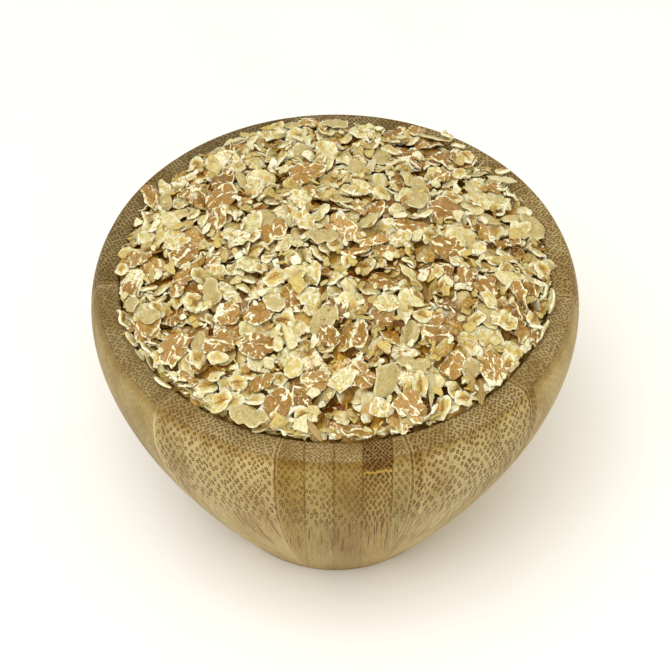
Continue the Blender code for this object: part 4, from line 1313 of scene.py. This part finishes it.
def wheat_material():
    """Brown bran, split by cracks and ragged edges that show the white inside."""
    look = Look("wheat", 0.5, 0.4, FLAKE_GLOW)
    local, edge, side = look.stored("flake_local", "Vector"), look.stored("edge"), look.stored("side")
    tone, pale = look.stored("tone"), look.stored("pale")
    bent = local.warp(0.5, 2.0, 2.4)
    slow = local.noise(0.42)
    open_side = (side + slow * 0.8).step(0.6, 1.5)
    width = slow.step(0.44, 0.64) * 0.085 - 0.012 + open_side * 0.11 + edge.step(0.45, 1.0) * 0.035
    crack = (bent.cells(1.0 / 3.2, "DISTANCE_TO_EDGE") - width).step(0.012, -0.012)
    bow = (local.noise(0.3, 1.0) - 0.5) * 2.6
    off = (look.stored("off_axis") + bow).math("ABSOLUTE")
    crease = (off - local.noise(0.5, 1.0).step(0.35, 0.65) * 0.42).step(0.08, -0.08)
    crack = crack.most(crease * pale.step(0.25, 0.35))
    fine = bent.cells(1.0 / 1.4, "DISTANCE_TO_EDGE").step(0.05, 0.02) * slow.step(0.52, 0.62)
    ragged = edge + (local.noise(1.3) - 0.5) * 0.42
    broken = crack.most((ragged + side * 0.10).step(0.93, 0.99))
    speck = local.noise(3.0, 1.0).step(0.70, 0.74)
    mostly_white = pale.step(0.86, 0.90) * local.noise(0.9).step(0.36, 0.46)
    starch = broken.most(fine * 0.7).most(speck * 0.8).most(mostly_white)

    mottled = tone * 0.55 + local.noise(1.1, 3.0) * 0.45
    bran = mottled.ramp(((0.12, BRAN_DARK), (0.5, BRAN), (0.88, BRAN_LIGHT)))
    grain = local.stretch(0.8, 4.0, 1.0).noise(1.0)
    bran = tint(grain.step(0.45, 0.8), bran, linear(226, 208, 180))
    white = mix(local.noise(2.0).step(0.35, 0.7), STARCH, CREAM_YELLOW)
    colour = look.paint_depth_shade(mix(starch, bran, white))
    height = local.stretch(0.5, 1.5, 1.0).noise(0.8) * 1.2 - broken * 0.35
    return look.finish(colour, height, roughness=starch * 0.35 + 0.38)


def oat_material():
    """Cream flakes with a golden middle, some of them olive or brown all over."""
    look = Look("oat", 0.6, 0.3, FLAKE_GLOW)
    local, edge, side = look.stored("flake_local", "Vector"), look.stored("edge"), look.stored("side")
    tone, pale = look.stored("tone"), look.stored("pale")
    uneven = local.noise(0.8, 3.0)
    middle = (edge + uneven * 0.9 + side * 0.25).step(1.05, 0.75) * tone.step(0.15, 0.45)
    body = mix(uneven.step(0.35, 0.65), CREAM, CREAM_YELLOW)
    centre = mix(local.noise(1.6).step(0.4, 0.6), GOLD, GOLD_BROWN)
    colour = mix(middle * 0.85, body, centre)
    colour = mix(pale.step(0.80, 0.86) * 0.8, colour, mix(uneven, OLIVE, OLIVE_PALE))
    off = (look.stored("off_axis") + (uneven - 0.5) * 1.4).math("ABSOLUTE")
    crease = off.step(0.24, 0.10) * edge.step(0.85, 0.6) * tone.step(0.35, 0.5)
    colour = mix(crease * 0.75, colour, GOLD_BROWN)
    split = local.warp(0.6, 2.0, 1.8).cells(1.0 / 2.6, "DISTANCE_TO_EDGE").step(0.16, 0.02)
    colour = mix(split * edge.step(0.45, 0.9) * 0.6, colour, STARCH)
    colour = mix((edge + local.noise(1.5) * 0.3).step(1.02, 1.18) * 0.8, colour, STARCH)
    ridges = local.stretch(0.7, 3.0, 1.0).noise(1.0)
    colour = tint(ridges.step(0.55, 0.8), colour, linear(232, 214, 170))
    return look.finish(look.paint_depth_shade(colour), ridges * 0.5 + local.noise(0.9) - crease * 0.5)


def barley_material():
    """Crumbly cream-yellow flakes with a rough face."""
    look = Look("barley", 0.7, 0.25, FLAKE_GLOW)
    local, edge, tone = look.stored("flake_local", "Vector"), look.stored("edge"), look.stored("tone")
    uneven = local.noise(0.7, 2.5)
    colour = mix(uneven.step(0.36, 0.62), CREAM_YELLOW, CREAM)
    patch = local.noise(0.55).step(0.52, 0.62) * tone.step(0.3, 0.6)
    colour = mix(patch * 0.7, colour, GOLD)
    pits = local.noise(2.6).step(0.58, 0.68)
    colour = mix(pits * 0.7, colour, GOLD_BROWN)
    split = local.warp(0.6, 2.0, 1.8).cells(1.0 / 2.4, "DISTANCE_TO_EDGE").step(0.18, 0.02)
    split = split * local.noise(0.5).step(0.44, 0.58)
    colour = mix(split * 0.7, colour, STARCH)
    colour = mix((edge + uneven * 0.4).step(1.05, 1.25) * 0.8, colour, STARCH)
    return look.finish(look.paint_depth_shade(colour), uneven - pits * 0.4, relief=0.0008)


def rice_material():
    """Smooth, glassy, olive-beige flakes with a light edge and pale specks. Some are cream."""
    look = Look("rice", 0.34, 0.5, FLAKE_GLOW)
    local, edge = look.stored("flake_local", "Vector"), look.stored("edge")
    tone, pale = look.stored("tone"), look.stored("pale")
    uneven = local.noise(0.6, 3.0)
    mottle = local.noise(1.1, 4.0, 0.6)
    colour = mix(tone * 0.5 + uneven.step(0.3, 0.7) * 0.5, OLIVE, OLIVE_PALE)
    colour = tint(mottle.step(0.50, 0.72), colour, linear(222, 206, 168))
    cream = mix(mottle.step(0.36, 0.60), CREAM_YELLOW, CREAM)
    cream = mix((edge + uneven * 0.9).step(1.0, 0.7) * (tone * 0.9), cream, GOLD)
    colour = mix(pale.step(0.42, 0.36).most(pale.step(0.67, 0.71)), colour, cream)
    colour = mix(local.noise(2.4).step(0.60, 0.68) * 0.6, colour, CREAM)
    colour = mix((edge + uneven * 0.35).step(1.0, 1.2) * 0.7, colour, CREAM)
    height = local.noise(0.7) * 0.8 + mottle * 0.4
    return look.finish(look.paint_depth_shade(colour), height, relief=0.0005, strength=0.6)


def husk_material():
    """Straw-coloured slivers with streaks along them."""
    look = Look("husk", 0.5, 0.35, FLAKE_GLOW)
    streaks = look.stored("flake_local", "Vector").stretch(0.35, 3.5, 1.0).noise(1.0)
    colour = mix(streaks.step(0.35, 0.68), STRAW, STRAW_DARK)
    colour = mix(look.stored("pale").step(0.35, 0.65) * 0.75, colour, CREAM)
    colour = mix(look.stored("tone").step(0.75, 0.85) * 0.7, colour, BRAN)
    return look.finish(look.paint_depth_shade(colour), streaks, relief=0.0005, strength=0.7)


def crumb_material():
    """White and cream bits, with some of bran."""
    look = Look("crumb", 0.7, 0.25, FLAKE_GLOW)
    local = look.stored("flake_local", "Vector")
    uneven = local.noise(1.2, 3.0)
    colour = (look.stored("tone") + (uneven - 0.5) * 0.5).ramp(CRUMB_TONES)
    colour = tint(local.noise(2.5).step(0.45, 0.7), colour, linear(232, 214, 172))
    return look.finish(look.paint_depth_shade(colour, 0.6), uneven)


def core_material():
    """The filling, painted in dark warm tans as the shade deep between the flakes, and seen only through the
    gaps.
    """
    look = Look("core", 0.8, 0.2)
    place = look.place()
    lumps = place.noise(420.0, 3.0)
    # painted shade in place of deeper flakes, with darker specks
    colour = mix(lumps.step(0.35, 0.65), FILLING_SHADE_DARK, FILLING_SHADE_LIGHT)
    colour = mix(place.noise(900.0).step(0.58, 0.66) * 0.6, colour, BRAN_DARK)
    return look.finish(colour, lumps, relief=0.0008)


def build_heap():
    """The core, the five kinds of flakes, the bits and the crumbs, one piece for each."""
    flakes, terrain, laid = settle_flakes()
    materials = {
        "wheat": wheat_material(),
        "oat": oat_material(),
        "barley": barley_material(),
        "rice": rice_material(),
        "husk": husk_material(),
    }
    pieces = [build_core(terrain)]
    for kind, material in materials.items():
        of_kind = {number: flake for number, flake in enumerate(flakes) if flake.kind == kind}
        pieces.append(build_kind("flakes_" + kind, kind, of_kind, material, set(laid.tolist())))
    loose = crumb_material()
    bits = dict(enumerate(settle_bits(terrain) + stand_slivers(), len(flakes)))
    crumbs = dict(enumerate(scatter_crumbs(terrain), len(flakes) + len(bits)))
    pieces.append(build_kind("bits", "bit", bits, loose))
    pieces.append(build_kind("crumbs", "crumb", crumbs, loose))
    return pieces


# ---------------------------------------------------------------- studio


FLOOR_SIDE = 4.0
FLOOR_LIGHT = linear(250, 250, 250)
FLOOR_DARK = linear(246, 246, 246)
LAMPS_FACE = (0.0, 0.0, 0.05)
KEY_COLOUR = (0.97, 0.99, 1.03)
ROOM_COLOUR = (1.0, 0.935, 0.77, 1.0)
ROOM_STRENGTH = 0.76
LENS = 119.9  # mm, on a sensor 36 mm wide
SENSOR = 36.0


def add_thing(name, data):
    thing = bpy.data.objects.new(name, data)
    bpy.context.scene.collection.objects.link(thing)
    return thing


def add_floor():
    data = bpy.data.meshes.new("floor")
    half = FLOOR_SIDE / 2.0
    corners = [(-half, -half, 0.0), (half, -half, 0.0), (half, half, 0.0), (-half, half, 0.0)]
    data.from_pydata(corners, [], [(0, 1, 2, 3)])
    floor = add_thing("floor", data)
    look = Look("floor", 0.8, 0.2)
    data.materials.append(look.finish(mix(look.place().noise(30.0), FLOOR_LIGHT, FLOOR_DARK)))


def add_lamp(name, place, size, watts, colour=(1.0, 1.0, 1.0)):
    """A square soft lamp that faces the bowl."""
    data = bpy.data.lights.new(name, "AREA")
    data.size = size
    data.energy = watts
    data.color = colour
    lamp = add_thing(name, data)
    lamp.location = place
    lamp.rotation_euler = (Vector(LAMPS_FACE) - Vector(place)).to_track_quat("-Z", "Y").to_euler()


def add_camera():
    data = bpy.data.cameras.new("camera")
    data.lens = LENS
    data.sensor_width = SENSOR
    camera = add_thing("camera", data)
    camera.location = EYE
    camera.rotation_euler = (math.pi / 2.0 - EYE_PITCH, 0.0, 0.0)
    bpy.context.scene.camera = camera


def add_studio():
    """A plain pale floor, an even warm room, two soft lamps and the photograph's view."""
    add_floor()
    world = bpy.data.worlds.new("studio")
    world.use_nodes = True
    background = world.node_tree.nodes["Background"]
    background.inputs["Color"].default_value = ROOM_COLOUR
    background.inputs["Strength"].default_value = ROOM_STRENGTH
    bpy.context.scene.world = world
    add_lamp("key", (-0.15, -0.42, 1.12), 0.70, 8.8, KEY_COLOUR)
    add_lamp("front", (0.25, -1.1, 0.45), 0.8, 1.6)
    add_camera()
    bpy.context.scene.view_settings.view_transform = "Standard"


def main():
    bowl = build_bowl()
    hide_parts("bowl")
    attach(bowl, "root")
    for piece in build_heap():
        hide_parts("heap")
        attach(piece, "root")
    add_studio()


main()
